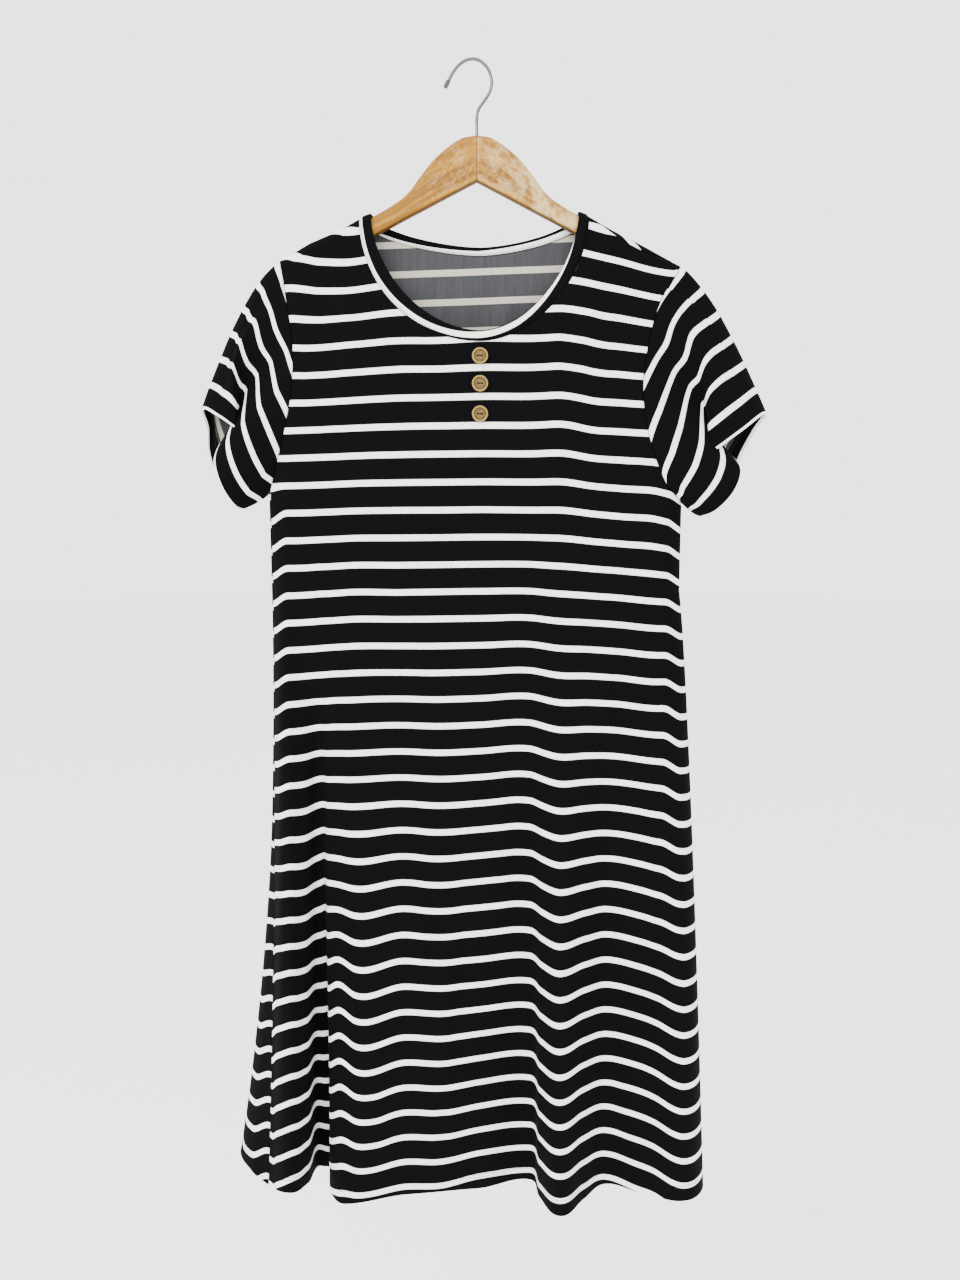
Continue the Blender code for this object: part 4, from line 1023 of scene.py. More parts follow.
def arm(side):
    """Hanger arm as a grid of sections: an upright rounded box at each station from the centre
    joint to the tip, its corners quarter rounds, with the stations flowing through the table."""
    x, top, under, half = (column(ARM_COLUMNS, ARM, key) * MM for key in ("x", "top", "under", "half"))
    line = flow(np.stack((x, top, under, half), axis=1),
                np.linspace(0, len(ARM) - 1, ARM_SPLIT * (len(ARM) - 1) + 1))
    corner_angle = np.linspace(0, math.pi / 2, ARM_CORNER_STEPS + 1)
    angle = np.concatenate([corner_angle + turn * math.pi / 2 for turn in range(4)])
    count = len(corner_angle)
    y_side = np.repeat((1, -1, -1, 1), count)
    z_side = np.repeat((1, 1, -1, -1), count)
    middle, tall, thick = (line[:, 1] + line[:, 2]) / 2, (line[:, 1] - line[:, 2]) / 2, line[:, 3]
    corner = np.minimum(ARM_CORNER, ARM_ROUNDING * thick)[:, None]
    y = y_side * (thick[:, None] - corner) + corner * np.cos(angle)
    z = middle[:, None] + z_side * (tall[:, None] - corner) + corner * np.sin(angle)
    points = np.stack((np.broadcast_to(side * line[:, :1], y.shape), y, z), axis=2)
    centre = np.stack((side * line[:, 0], np.zeros(len(line)), middle), axis=1)
    above = points[..., 2] - line[:, 2, None]
    grain = np.stack(np.broadcast_arrays(lengths(centre)[:, None], above, points[..., 1]), axis=-1)
    if side < 0:
        points, grain = points[:, ::-1], grain[:, ::-1]
    return points, grain


def hook_line(split):
    """Centre line of the hook wire."""
    route = np.array(HOOK_ROUTE, dtype=float) * MM
    line = flow(route, np.linspace(0, len(route) - 1, split * (len(route) - 1) + 1))
    return np.stack((line[:, 0], np.zeros(len(line)), line[:, 1]), axis=1)


def tube(line, radius, sides):
    """Round tube along a line in one plane: point = line + radius * (cos(t) * sideways +
    sin(t) * out of the plane)."""
    line = np.asarray(line, dtype=float)
    heading = np.gradient(line, axis=0)
    heading = heading / np.linalg.norm(heading, axis=1, keepdims=True)
    steady = np.cross(heading[0], heading[-1])
    steady = steady / np.linalg.norm(steady) if np.linalg.norm(steady) > 1e-6 else np.array((0.0, 1.0, 0.0))
    sideways = np.cross(heading, steady)
    sideways = sideways / np.linalg.norm(sideways, axis=1, keepdims=True)
    upward = np.cross(sideways, heading)
    turn = np.linspace(0, 2 * math.pi, sides, endpoint=False)[None, :, None]
    radius = np.broadcast_to(radius, (len(line),))[:, None, None]
    return line[:, None] + radius * (np.cos(turn) * sideways[:, None] + np.sin(turn) * upward[:, None])


def hook_tip():
    """Dark cap on the hook's free end: its profile turned round the wire's own heading."""
    line = hook_line(TIP_WIRE_SPLIT)
    heading = line[-1] - line[-2]
    heading = heading / np.linalg.norm(heading)
    start = line[-1] + heading * SEAM_GAP
    profile = np.array(TIP_PROFILE)
    at = np.linspace(0, len(profile) - 1, TIP_SPLIT * (len(profile) - 1) + 1)
    radius = np.interp(at, np.arange(len(profile)), profile[:, 0])[1:-1] * TIP_RADIUS
    level = np.interp(at, np.arange(len(profile)), profile[:, 1])[1:-1] * TIP_LENGTH
    steady = np.array((0.0, 1.0, 0.0))
    sideways = np.cross(heading, steady)
    turn = np.linspace(0, 2 * math.pi, TIP_SIDES, endpoint=False)[None, :, None]
    ring = np.cos(turn) * sideways + np.sin(turn) * steady
    return start + heading * level[:, None, None] + radius[:, None, None] * ring


def button_seat(height):
    """Place and the three directions of a button that lies on the front: across, up, out."""
    around = around_at(np.array([BUTTON_X]), True)
    level = np.array([height])
    seat = body_surface(around, level)[0]
    out = body_normal(around, level)[0]
    across = np.array((1.0, 0.0, 0.0)) - out[0] * out
    across = across / np.linalg.norm(across)
    return seat + out * BUTTON_STAND, across, np.cross(out, across), out


def button(height, turn):
    """Button as rings of points from its middle over the rim to the back.

    Across the face the height is the dish, less the carved lines, less the two holes: a line
    is cut by depth * exp(-(distance / width)^2) round the ring, round five petals and along the
    spokes between them, and a hole by a smooth step at its radius.
    """
    share = np.linspace(0, 1, BUTTON_RINGS + 1)[1:, None]
    angle = np.linspace(0, 2 * math.pi, BUTTON_SIDES, endpoint=False)[None, :]
    radius = BUTTON_FACE_WIDE * BUTTON_RADIUS * share
    x, y = radius * np.cos(angle), radius * np.sin(angle)
    level = np.interp(radius / BUTTON_RADIUS, *zip(*BUTTON_FACE)) * BUTTON_THICKNESS
    petal_angle = PETALS / 2 * (angle - turn)
    leaf = PETAL_INNER + PETAL_SWING * np.abs(np.cos(petal_angle)) ** PETAL_ROUNDNESS
    petals = np.exp(-((radius / BUTTON_RADIUS - leaf) / PETAL_LINE) ** 2)
    spokes = np.exp(-(np.sin(petal_angle + math.pi / 2) * radius / SPOKE_LINE) ** 2)
    spokes = spokes * ease((radius - SPOKE_INNER) / SPOKE_INNER_WIDTH)
    spokes = spokes * ease((SPOKE_OUTER * BUTTON_RADIUS - radius) / SPOKE_OUTER_WIDTH)
    ring = np.exp(-((radius / BUTTON_RADIUS - RING_PLACE) / RING_LINE) ** 2)
    carving = np.maximum(np.maximum(petals, SPOKE_SHARE * spokes), ring)
    hole = sum(1 - ease((np.hypot(x - side * BUTTON_HOLE_SPACING / 2, y) - HOLE_RADIUS) / HOLE_SLOPE)
               for side in (-1, 1))
    level = level - CARVING_DEPTH * carving - hole * HOLE_DEPTH * BUTTON_THICKNESS
    rim = np.array(BUTTON_RIM)
    x = np.concatenate((x, rim[:, :1] * BUTTON_RADIUS * np.cos(angle)))
    y = np.concatenate((y, rim[:, :1] * BUTTON_RADIUS * np.sin(angle)))
    level = np.concatenate((level, np.broadcast_to(rim[:, 1:] * BUTTON_THICKNESS, (len(rim), BUTTON_SIDES))))
    seat, across, up, out = button_seat(height)
    points = seat + x[..., None] * across + y[..., None] * up + level[..., None] * out
    plain = np.zeros((len(rim), BUTTON_SIDES))
    dark, pits = np.concatenate((carving, plain)), np.concatenate((hole, plain))
    return points, np.stack((dark, pits, np.hypot(x, y)), axis=-1)


def thread(height):
    """Two strands side by side that cross the middle of a button from hole to hole, arched."""
    seat, across, up, out = button_seat(height)
    part = np.linspace(0, 1, THREAD_STEPS + 1)[:, None]
    level = BUTTON_THICKNESS * (THREAD_LOW + THREAD_ARCH * np.sin(math.pi * part) ** THREAD_ARCH_POWER)
    arch = seat + across * (part - 0.5) * BUTTON_HOLE_SPACING * THREAD_REACH + out * level
    return [arch + up * (shift + THREAD_LEAN * part) for shift in THREAD_SHIFTS]


def corner_numbers(rows, columns, closed):
    """The four corners of every cell of a grid, in the order that faces outwards: corner,
    below, beyond, right. A closed grid gets one more column, which is its first again."""
    wide = columns + 1 if closed else columns
    row, place = np.meshgrid(np.arange(rows - 1), np.arange(wide - 1), indexing="ij")
    row, place = row.ravel(), place.ravel()
    return (np.stack((row, row + 1, row + 1, row), axis=1),
            np.stack((place, place, place + 1, place + 1), axis=1))


def new_object(name, points, faces, material_numbers, materials, attribute, spots, uvs, sharp):
    """Mesh object at the origin with smooth faces, its materials, a point attribute that its
    materials read, and a UV map in metres."""
    mesh = bpy.data.meshes.new(name)
    mesh.from_pydata(points.tolist(), [], [tuple(face) for face in faces])
    for material in materials:
        mesh.materials.append(material)
    mesh.polygons.foreach_set("material_index", np.asarray(material_numbers, dtype=np.int32))
    values = mesh.attributes.new(attribute, "FLOAT_VECTOR", "POINT").data
    values.foreach_set("vector", spots.ravel().astype(np.float32))
    corners = mesh.uv_layers.new(name="UVMap").data
    corners.foreach_set("uv", np.concatenate(uvs).ravel().astype(np.float32))
    mesh.validate()
    mesh.shade_smooth()
    mesh.set_sharp_from_angle(angle=math.radians(sharp))
    made = bpy.data.objects.new(name, mesh)
    bpy.context.scene.collection.objects.link(made)
    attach(made, BODY)
    return made


def cloth_piece(name, outer, inner, spots, closed, materials):
    """Thin closed shell between an outer and an inner grid. The outer face has the first
    material, the inner face the second, and the rims along the open edges the first."""
    rows, columns = outer.shape[:2]
    row, place = corner_numbers(rows, columns, closed)
    outside = row * columns + place % columns
    shift = rows * columns
    faces = [outside, outside[:, ::-1] + shift]
    wrapped = np.concatenate((outer, outer[:, :1]), axis=1) if closed else outer
    walked = np.stack((lengths(wrapped, 1), -lengths(wrapped, 0)), axis=-1)
    uv = walked[row, place]
    uvs = [uv, uv[:, ::-1]]
    number = np.arange(rows * columns).reshape(rows, columns)
    if closed:
        number = np.concatenate((number, number[:, :1]), axis=1)
    flat_uv = walked[:, :columns].reshape(-1, 2)
    edges = [(number[0, :-1], number[0, 1:]), (number[-1, 1:], number[-1, :-1])]
    if not closed:
        edges += [(number[1:, 0], number[:-1, 0]), (number[:-1, -1], number[1:, -1])]
    for start, end in edges:
        faces.append(np.stack((start, end, end + shift, start + shift), axis=1))
        uvs.append(flat_uv[np.stack((start, end, end, start), axis=1)])
    slots = np.concatenate((np.zeros(len(outside)), np.ones(len(outside)),
                            np.zeros(sum(len(start) for start, _ in edges))))
    points = np.concatenate((outer.reshape(-1, 3), inner.reshape(-1, 3)))
    both = np.concatenate((spots.reshape(-1, 3), spots.reshape(-1, 3)))
    return new_object(name, points, np.concatenate(faces), slots, materials, "cloth", both,
                      [uv.reshape(-1, 2) for uv in uvs], CLOTH_SHARP)


def round_piece(name, points, spots, materials, ends):
    """Closed piece from rings of points. "ends" closes both ends with flat faces, or "ring"
    joins the last ring to the first, so that the piece is a closed tube."""
    rows, columns = points.shape[:2]
    wrapped = np.concatenate((points, points[:, :1]), axis=1)
    if ends == "ring":
        wrapped = np.concatenate((wrapped, wrapped[:1]))
    row, place = corner_numbers(wrapped.shape[0], columns, True)
    faces = (row % rows) * columns + place % columns
    walked = np.stack((lengths(wrapped, 1), -lengths(wrapped, 0)), axis=-1)
    uvs = [walked[row, place].reshape(-1, 2)]
    faces = faces.tolist()
    if ends == "ends":
        first, last = np.arange(columns), (rows - 1) * columns + np.arange(columns)
        for loop, order in ((first, first), (last[::-1], np.arange(columns)[::-1])):
            faces.append(loop.tolist())
            uvs.append(walked[0 if loop is first else rows - 1, order])
    return new_object(name, points.reshape(-1, 3), faces, np.zeros(len(faces)), materials, "spot",
                      spots.reshape(-1, 3), uvs, ROUND_SHARP)


class Sock:
    """A shader socket on which Python's operators add Math nodes."""

    def __init__(self, paint, socket):
        self.paint = paint
        self.socket = socket

    def __add__(self, other):
        return self.paint.maths("ADD", self, other)

    __radd__ = __add__

    def __sub__(self, other):
        return self.paint.maths("SUBTRACT", self, other)

    def __rsub__(self, other):
        return self.paint.maths("SUBTRACT", other, self)

    def __mul__(self, other):
        return self.paint.maths("MULTIPLY", self, other)

    __rmul__ = __mul__

    def __truediv__(self, other):
        return self.paint.maths("DIVIDE", self, other)


class Paint:
    """One material on a Principled BSDF, with the nodes that vary its finish."""

    def __init__(self, name, **fixed):
        self.material = bpy.data.materials.new(name)
        self.material.use_nodes = True
        self.tree = self.material.node_tree
        self.shader = self.tree.nodes["Principled BSDF"]
        for socket, value in fixed.items():
            self.shader.inputs[socket.replace("_", " ")].default_value = value

    def add(self, kind, settings=None, output=0, **values):
        """Adds a node of one type, sets its settings first and then its sockets' values or
        links. A socket is named, or numbered as in s0."""
        node = self.tree.nodes.new(kind)
        for name, value in (settings or {}).items():
            setattr(node, name, value)
        for name, value in values.items():
            place = int(name[1:]) if name[0] == "s" and name[1:].isdigit() else name.replace("_", " ")
            self.plug(node.inputs[place], value)
        return Sock(self, node.outputs[output])

    def plug(self, socket, value):
        """Gives a socket a link or a plain value; a colour gets its alpha."""
        if isinstance(value, Sock):
            self.tree.links.new(value.socket, socket)
        elif socket.type == "RGBA" and len(value) == 3:
            socket.default_value = (*value, 1.0)
        else:
            socket.default_value = value

    def maths(self, operation, first, second=0.0):
        """Math node on two sockets or numbers."""
        return self.add("ShaderNodeMath", {"operation": operation}, s0=first, s1=second)

    def step(self, value, low, high):
        """Smooth step from 0 at low to 1 at high."""
        return self.add("ShaderNodeMapRange", {"interpolation_type": "SMOOTHSTEP"},
                        Value=value, From_Min=low, From_Max=high)

    def mix(self, part, first, second):
        """Colour between two colours."""
        return self.add("ShaderNodeMix", {"data_type": "RGBA"}, 2, s0=part, s6=first, s7=second)

    def shade(self, colour, factor):
        """Colour made darker or lighter by a factor."""
        return self.add("ShaderNodeVectorMath", {"operation": "SCALE"}, Vector=colour, Scale=factor)

    def noise(self, place, scale, detail=2.0, stretch=(1, 1, 1)):
        """Noise from 0 to 1 at a place, stretched along the axes."""
        moved = self.add("ShaderNodeMapping", Vector=place, Scale=stretch)
        return self.add("ShaderNodeTexNoise", Vector=moved, Scale=scale, Detail=detail)

    def wave(self, place, direction, scale, distortion=0.6, detail=1.0, detail_scale=1.0):
        """Bands from 0 to 1 that run across a direction."""
        return self.add("ShaderNodeTexWave", {"bands_direction": direction}, "Fac", Vector=place,
                        Scale=scale, Distortion=distortion, Detail=detail, Detail_Scale=detail_scale)

    def object_place(self):
        """Object coordinates."""
        return self.add("ShaderNodeTexCoord", None, "Object")

    def uv_place(self):
        """The piece's own UV map."""
        return self.add("ShaderNodeTexCoord", None, "UV")

    def parts(self, attribute):
        """The three numbers of a point attribute."""
        vector = self.add("ShaderNodeAttribute", {"attribute_name": attribute}, "Vector")
        return [self.add("ShaderNodeSeparateXYZ", None, axis, Vector=vector) for axis in "XYZ"]

    def finish(self, colour, roughness, height=None, strength=0.5, distance=0.2 * MM):
        """Joins colour, roughness and bump height to the shader and returns the material."""
        self.plug(self.shader.inputs["Base Color"], colour)
        self.plug(self.shader.inputs["Roughness"], roughness)
        if height is not None:
            bump = self.add("ShaderNodeBump", None, Height=height, Strength=strength, Distance=distance)
            self.plug(self.shader.inputs["Normal"], bump)
        return self.material


def stripe_mask(paint, coordinate, sizes, wobble):
    """0 on a white stripe and 1 between the stripes: how far the coordinate lies from the
    nearest whole number of repeats, against half a stripe's width, with a knit's soft edge."""
    turn = coordinate / sizes.stripe_repeat + 0.5
    off = paint.maths("ABSOLUTE", paint.maths("FRACT", turn) - 0.5) * sizes.stripe_repeat
    off = off + (wobble - 0.5) * (0.5 * MM)
    half = sizes.stripe_width / 2
    return paint.step(off, half - 0.3 * MM, half + 0.3 * MM)


def jersey(name, sizes, colours, reverse=False):
    """Striped knit jersey. Right side: black between off-white stripes, fine wales and courses
    in the bump, dry short fibres as sheen, a groove along the seams with painted shade in it,
    puckers beside the seams and two rows of stitches at the top of the turned-up hem. Reverse:
    the same stripes seen through the back of the knit, greyed and mottled in upright streaks."""
    paint = Paint(name, Specular_IOR_Level=0.02, Sheen_Weight=0.003, Sheen_Roughness=0.5)
    stripe, seam, hem = paint.parts("cloth")
    uv = paint.uv_place()
    fine = paint.noise(uv, 900.0, 3.0)
    cloudy = paint.noise(uv, 26.0, 3.0, (1, 0.45, 1))
    streaks = paint.noise(paint.object_place(), 330.0, 2.0, (1, 1, 0.05))
    turned = 1.0 - paint.step(hem, HEM_DEPTH - 0.2 * MM, HEM_DEPTH + 0.2 * MM)
    if reverse:
        stripe = stripe - turned * hem * 2.0
    mask = stripe_mask(paint, stripe, sizes, fine)
    wales = paint.wave(uv, "X", 260.0, detail_scale=2.0)
    courses = paint.wave(uv, "Y", 200.0, detail_scale=2.0)
    dark, light = colours.black, colours.white
    if reverse:
        dark, light = colours.reverse_black, colours.reverse_white
    depth = 0.42 if reverse else 0.16
    black = paint.shade(tuple(dark), 1.0 - depth + (cloudy * 0.8 + streaks * 1.2) * depth)
    white = paint.shade(tuple(light), 0.90 + cloudy * 0.12 + streaks * 0.05)
    colour = paint.mix(mask, white, black)
    if reverse:
        right_side = paint.mix(mask, tuple(colours.white), tuple(colours.black))
        colour = paint.mix(turned, colour, right_side)
    # Painted shade: the cloth is darkened along every seam, where the groove between the pieces lies in
    # shade; the same mask sinks that groove in the bump.
    seam_groove_shade = 1.0 - paint.step(seam, 0.2 * MM, 1.6 * MM)
    hem_row = 0.0
    for row in HEM_ROWS:
        off = paint.maths("ABSOLUTE", hem - (HEM_DEPTH - row))
        hem_row = hem_row + (1.0 - paint.step(off, 0.15 * MM, 0.55 * MM))
    across = paint.add("ShaderNodeSeparateXYZ", None, "X", Vector=uv)
    from_stitch = paint.maths("ABSOLUTE", paint.maths("FRACT", across / STITCH_SPACING) - 0.5)
    dash = paint.step(from_stitch, 0.08, 0.14)
    stitch = hem_row * dash
    colour = paint.mix(stitch * 0.85, colour, tuple(0.6 * c for c in dark))
    # Darkens the colour along the seams: painted shade in their groove.
    colour = paint.shade(colour, 1.0 - seam_groove_shade * 0.35)
    pucker = paint.noise(uv, 120.0, 2.0, (1, 0.25, 1)) * (1.0 - paint.step(seam, 1 * MM, 14 * MM))
    height = (wales * 0.30 + courses * 0.16 + fine * 0.35 + pucker * 1.6 - seam_groove_shade * 2.2
              - hem_row * 0.9 + stitch * 0.9)
    return paint.finish(colour, 0.80 + fine * 0.12, height, 0.55, 0.00035)


def band_material(sizes, colours):
    """Neckband cut along the stripes: a white zone that wanders across the band, with a
    covered seam line, painted shade in the crease along its seam, and the same knit as the body."""
    paint = Paint("band_jersey", Specular_IOR_Level=0.02, Sheen_Weight=0.003, Sheen_Roughness=0.5)
    across, start, stop = paint.parts("spot")
    uv = paint.uv_place()
    fine = paint.noise(uv, 900.0, 3.0)
    cloudy = paint.noise(uv, 60.0, 2.0)
    edge = 0.3 * MM
    across = across + (fine - 0.5) * (0.3 * MM)
    white_part = paint.step(across - start, -edge, edge) * (1.0 - paint.step(across - stop, -edge, edge))
    black = paint.shade(tuple(colours.black), 0.85 + cloudy * 0.4)
    white = paint.shade(tuple(colours.white), 0.90 + cloudy * 0.14)
    colour = paint.mix(white_part, black, white)
    line = 1.0 - paint.step(paint.maths("ABSOLUTE", across - BAND_SEAM_LINE), 0.12 * MM, 0.5 * MM)
    # Painted shade: the band is darkened along its seam, in the crease where it meets the body; the same mask
    # sinks that crease in the bump.
    band_crease_shade = 1.0 - paint.step(across, 0.1 * MM, 0.9 * MM)
    colour = paint.shade(colour, 1.0 - line * 0.62)
    # Painted shade in the crease along the band's seam.
    colour = paint.shade(colour, 1.0 - band_crease_shade * 0.5)
    ribs = paint.wave(uv, "X", 260.0)
    pucker = paint.noise(uv, 170.0, 1.0, (1, 0.2, 1))
    height = ribs * 0.3 + fine * 0.35 + pucker * 0.9 - line * 1.6 - band_crease_shade * 2.0
    return paint.finish(colour, 0.80 + fine * 0.12, height, 0.55, 0.0004)


def wood(name, side, colours):
    """Varnished wood with its grain along the arm. The left arm is golden and streaked; the
    right one is paler, blotched with pale patches that are worn varnish and painted highlight, with
    pits. The rounded edges and the underside are painted darker, as shade."""
    paint = Paint(name, Coat_Weight=0.03, Coat_Roughness=0.25, Specular_IOR_Level=0.10)
    along, above, thick = paint.parts("spot")
    spot = paint.add("ShaderNodeAttribute", {"attribute_name": "spot"}, "Vector")
    streaks = paint.noise(spot, 260.0, 4.0, (0.07, 1, 1))
    bands = paint.noise(spot, 60.0, 3.0, (0.10, 1, 1))
    blotch = paint.noise(spot, 95.0, 5.0, (0.8, 1, 1))
    speck = paint.noise(spot, 420.0, 3.0, (0.7, 1, 1))
    pale, mid, deep = (tuple(c) for c in (colours.wood_pale, colours.wood, colours.wood_deep))
    warm = paint.mix(paint.step(bands, 0.30, 0.70), deep, mid)
    warm = paint.mix(paint.step(streaks, 0.40, 0.64) * 0.5, warm, pale)
    near_joint = 1.0 - paint.step(along, 0.020, 0.075)
    # Pale blotches, most on the right arm: worn varnish, and on the right arm also a painted highlight where
    # its varnish catches the light.
    if side > 0:
        worn_and_highlight = paint.step(blotch, 0.38, 0.64) * (0.68 - near_joint * 0.30)
    else:
        worn_and_highlight = paint.step(blotch, 0.48, 0.72) * near_joint * 0.25
    colour = paint.mix(worn_and_highlight, warm, tuple(colours.wood_worn_and_highlight))
    dark_spots = paint.step(speck, 0.54, 0.66) * (0.25 + near_joint * 0.45)
    colour = paint.mix(dark_spots * 0.6, colour, deep)
    light_spots = (1.0 - paint.step(speck, 0.34, 0.46)) * (0.04 + near_joint * 0.32)
    colour = paint.mix(light_spots * 0.6, colour, tuple(colours.wood_worn_and_highlight))
    pits = paint.step(paint.noise(spot, 170.0, 1.0), 0.72, 0.77) * (1.0 if side > 0 else 0.3)
    colour = paint.mix(pits * 0.8, colour, tuple(0.35 * c for c in deep))
    # Painted shade: the rounded top and bottom edges are darkened where they turn away from the light.
    rounded_edge_shade = 1.0 - paint.step(paint.maths("ABSOLUTE", thick), 3.4 * MM, 5.4 * MM)
    colour = paint.mix(rounded_edge_shade * 0.55, colour, deep)
    # Painted shade under the arm: the underside is darkened.
    under = 1.0 - paint.step(above, 0.5 * MM, 2.8 * MM)
    colour = paint.mix(under * 0.80, colour, tuple(0.30 * c for c in deep))
    joint = 1.0 - paint.step(along, 0.3 * MM, 1.1 * MM)
    colour = paint.mix(joint * 0.6, colour, tuple(0.4 * c for c in deep))
    roughness = 0.36 + streaks * 0.14 + worn_and_highlight * 0.22 - near_joint * 0.04
    height = streaks * 0.5 + speck * 0.35 - pits * 1.5 - worn_and_highlight * 0.5
    return paint.finish(colour, roughness, height, 0.4, 0.0003)


def wire_material(colours):
    """Bright plated wire with drawn streaks and a few dull spots."""
    paint = Paint("plated_wire", Metallic=1.0)
    place = paint.object_place()
    drawn = paint.noise(place, 1400.0, 2.0, (1, 1, 0.08))
    dull = paint.step(paint.noise(place, 160.0, 3.0), 0.52, 0.70)
    colour = paint.mix(dull * 0.5, tuple(colours.wire), tuple(0.55 * c for c in colours.wire))
    return paint.finish(colour, 0.14 + drawn * 0.10 + dull * 0.18, drawn, 0.15, 0.0001)


def tip_material(colours):
    """Dark moulded cap with a faint scuff."""
    paint = Paint("dark_cap", Specular_IOR_Level=0.4)
    scuff = paint.noise(paint.object_place(), 700.0, 4.0)
    colour = paint.mix(paint.step(scuff, 0.45, 0.75), tuple(colours.tip), tuple(2.4 * c for c in colours.tip))
    return paint.finish(colour, 0.42 + scuff * 0.22, scuff, 0.25, 0.0001)


def button_material(colours):
    """Light wood with burnt lines in the carving, darker in the holes, with a fine grain."""
    paint = Paint("button_wood", Specular_IOR_Level=0.12)
    carved, pit, radius = paint.parts("spot")
    place = paint.object_place()
    grain = paint.noise(place, 900.0, 3.0, (0.25, 1, 1))
    tone = paint.noise(place, 140.0, 2.0)
    pale, deep = tuple(colours.button), tuple(colours.button_line)
    rim = paint.step(radius, 5.7 * MM, 6.3 * MM)
    colour = paint.mix(paint.step(grain, 0.3, 0.75) * 0.5, pale, tuple(0.72 * c for c in pale))
    colour = paint.shade(colour, 0.80 + tone * 0.30 + rim * 0.75)
    colour = paint.mix(carved * 0.95, colour, deep)
    colour = paint.mix(paint.step(pit, 0.25, 0.8), colour, (0.006, 0.004, 0.003))
    return paint.finish(colour, 0.46 + grain * 0.2, grain - carved * 0.5, 0.3, 0.00015)


def thread_material(colours):
    """Dark twisted sewing thread."""
    paint = Paint("dark_thread", Specular_IOR_Level=0.25)
    twist = paint.wave(paint.object_place(), "DIAGONAL", 900.0, 0.4, 2.0)
    colour = paint.mix(twist, tuple(0.5 * c for c in colours.thread), tuple(1.5 * c for c in colours.thread))
    return paint.finish(colour, 0.7 + twist * 0.15, twist, 0.6, 0.0001)


def floor_material(colours):
    """Plain pale floor with the faintest unevenness."""
    paint = Paint("pale_floor", Specular_IOR_Level=0.1)
    tone = paint.noise(paint.object_place(), 0.7, 2.0)
    return paint.finish(paint.shade(tuple(colours.floor), 0.985 + tone * 0.03), 0.9 + tone * 0.05)


class DressSizes(bpy.types.PropertyGroup):
    """Sizes of the cloth and its stripes."""

    cloth_thickness: FloatProperty(
        name="Cloth Thickness", description="Thickness of one layer of jersey",
        default=0.0009, min=0.0003, max=0.002, unit="LENGTH", precision=5)
    hem_thickness: FloatProperty(
        name="Hem Thickness", description="Thickness of the cloth where it is turned up and sewn",
        default=0.0018, min=0.0005, max=0.003, unit="LENGTH", precision=5)
    stripe_repeat: FloatProperty(
        name="Stripe Repeat", description="Distance from one white stripe to the next",
        default=0.0273, min=0.005, max=0.1, unit="LENGTH", precision=5)
    stripe_width: FloatProperty(
        name="Stripe Width", description="Width of a white stripe",
        default=0.0062, min=0.001, max=0.05, unit="LENGTH", precision=5)
    crease_strength: FloatProperty(
        name="Crease Strength", description="Height of the soft creases, 1 as hung",
        default=1.0, min=0.0, max=3.0, subtype="FACTOR")


class DressColours(bpy.types.PropertyGroup):
    """Colours of the cloth, the hanger and the buttons."""

    black: FloatVectorProperty(
        name="Black", description="Dark yarn of the jersey", subtype="COLOR", size=3,
        default=(0.0018, 0.0018, 0.0021), min=0.0, max=1.0)
    white: FloatVectorProperty(
        name="White", description="Off-white yarn of the jersey", subtype="COLOR", size=3,
        default=(0.80, 0.78, 0.745), min=0.0, max=1.0)
    reverse_black: FloatVectorProperty(
        name="Reverse Black", description="Dark stripe on the back of the jersey", subtype="COLOR",
        size=3, default=(0.036, 0.037, 0.039), min=0.0, max=1.0)
    reverse_white: FloatVectorProperty(
        name="Reverse White", description="Pale stripe on the back of the jersey", subtype="COLOR",
        size=3, default=(0.34, 0.315, 0.265), min=0.0, max=1.0)
    wood: FloatVectorProperty(
        name="Wood", description="Varnished wood of the hanger", subtype="COLOR", size=3,
        default=(0.27, 0.118, 0.007), min=0.0, max=1.0)
    wood_pale: FloatVectorProperty(
        name="Pale Wood", description="Light streaks in the hanger's wood", subtype="COLOR", size=3,
        default=(0.36, 0.185, 0.018), min=0.0, max=1.0)
    wood_deep: FloatVectorProperty(
        name="Deep Wood", description="Dark grain in the hanger's wood", subtype="COLOR", size=3,
        default=(0.13, 0.050, 0.004), min=0.0, max=1.0)
    # Pale wood of worn varnish, also used as the painted highlight on the right arm's varnish.
    wood_worn_and_highlight: FloatVectorProperty(
        name="Worn Wood", description="Wood where the varnish has worn off", subtype="COLOR",
        size=3, default=(0.54, 0.40, 0.19), min=0.0, max=1.0)
    wire: FloatVectorProperty(
        name="Wire", description="Plated wire of the hook", subtype="COLOR", size=3,
        default=(0.10, 0.096, 0.092), min=0.0, max=1.0)
    tip: FloatVectorProperty(
        name="Tip", description="Cap on the end of the hook", subtype="COLOR", size=3,
        default=(0.03, 0.028, 0.026), min=0.0, max=1.0)
    button: FloatVectorProperty(
        name="Button", description="Light wood of the buttons", subtype="COLOR", size=3,
        default=(0.130, 0.085, 0.024), min=0.0, max=1.0)
    button_line: FloatVectorProperty(
        name="Button Lines", description="Burnt lines carved in the buttons", subtype="COLOR",
        size=3, default=(0.030, 0.012, 0.003), min=0.0, max=1.0)
    thread: FloatVectorProperty(
        name="Thread", description="Thread that holds the buttons", subtype="COLOR", size=3,
        default=(0.012, 0.010, 0.010), min=0.0, max=1.0)
    floor: FloatVectorProperty(
        name="Floor", description="Pale floor", subtype="COLOR", size=3,
        default=(0.95, 0.95, 0.95), min=0.0, max=1.0)


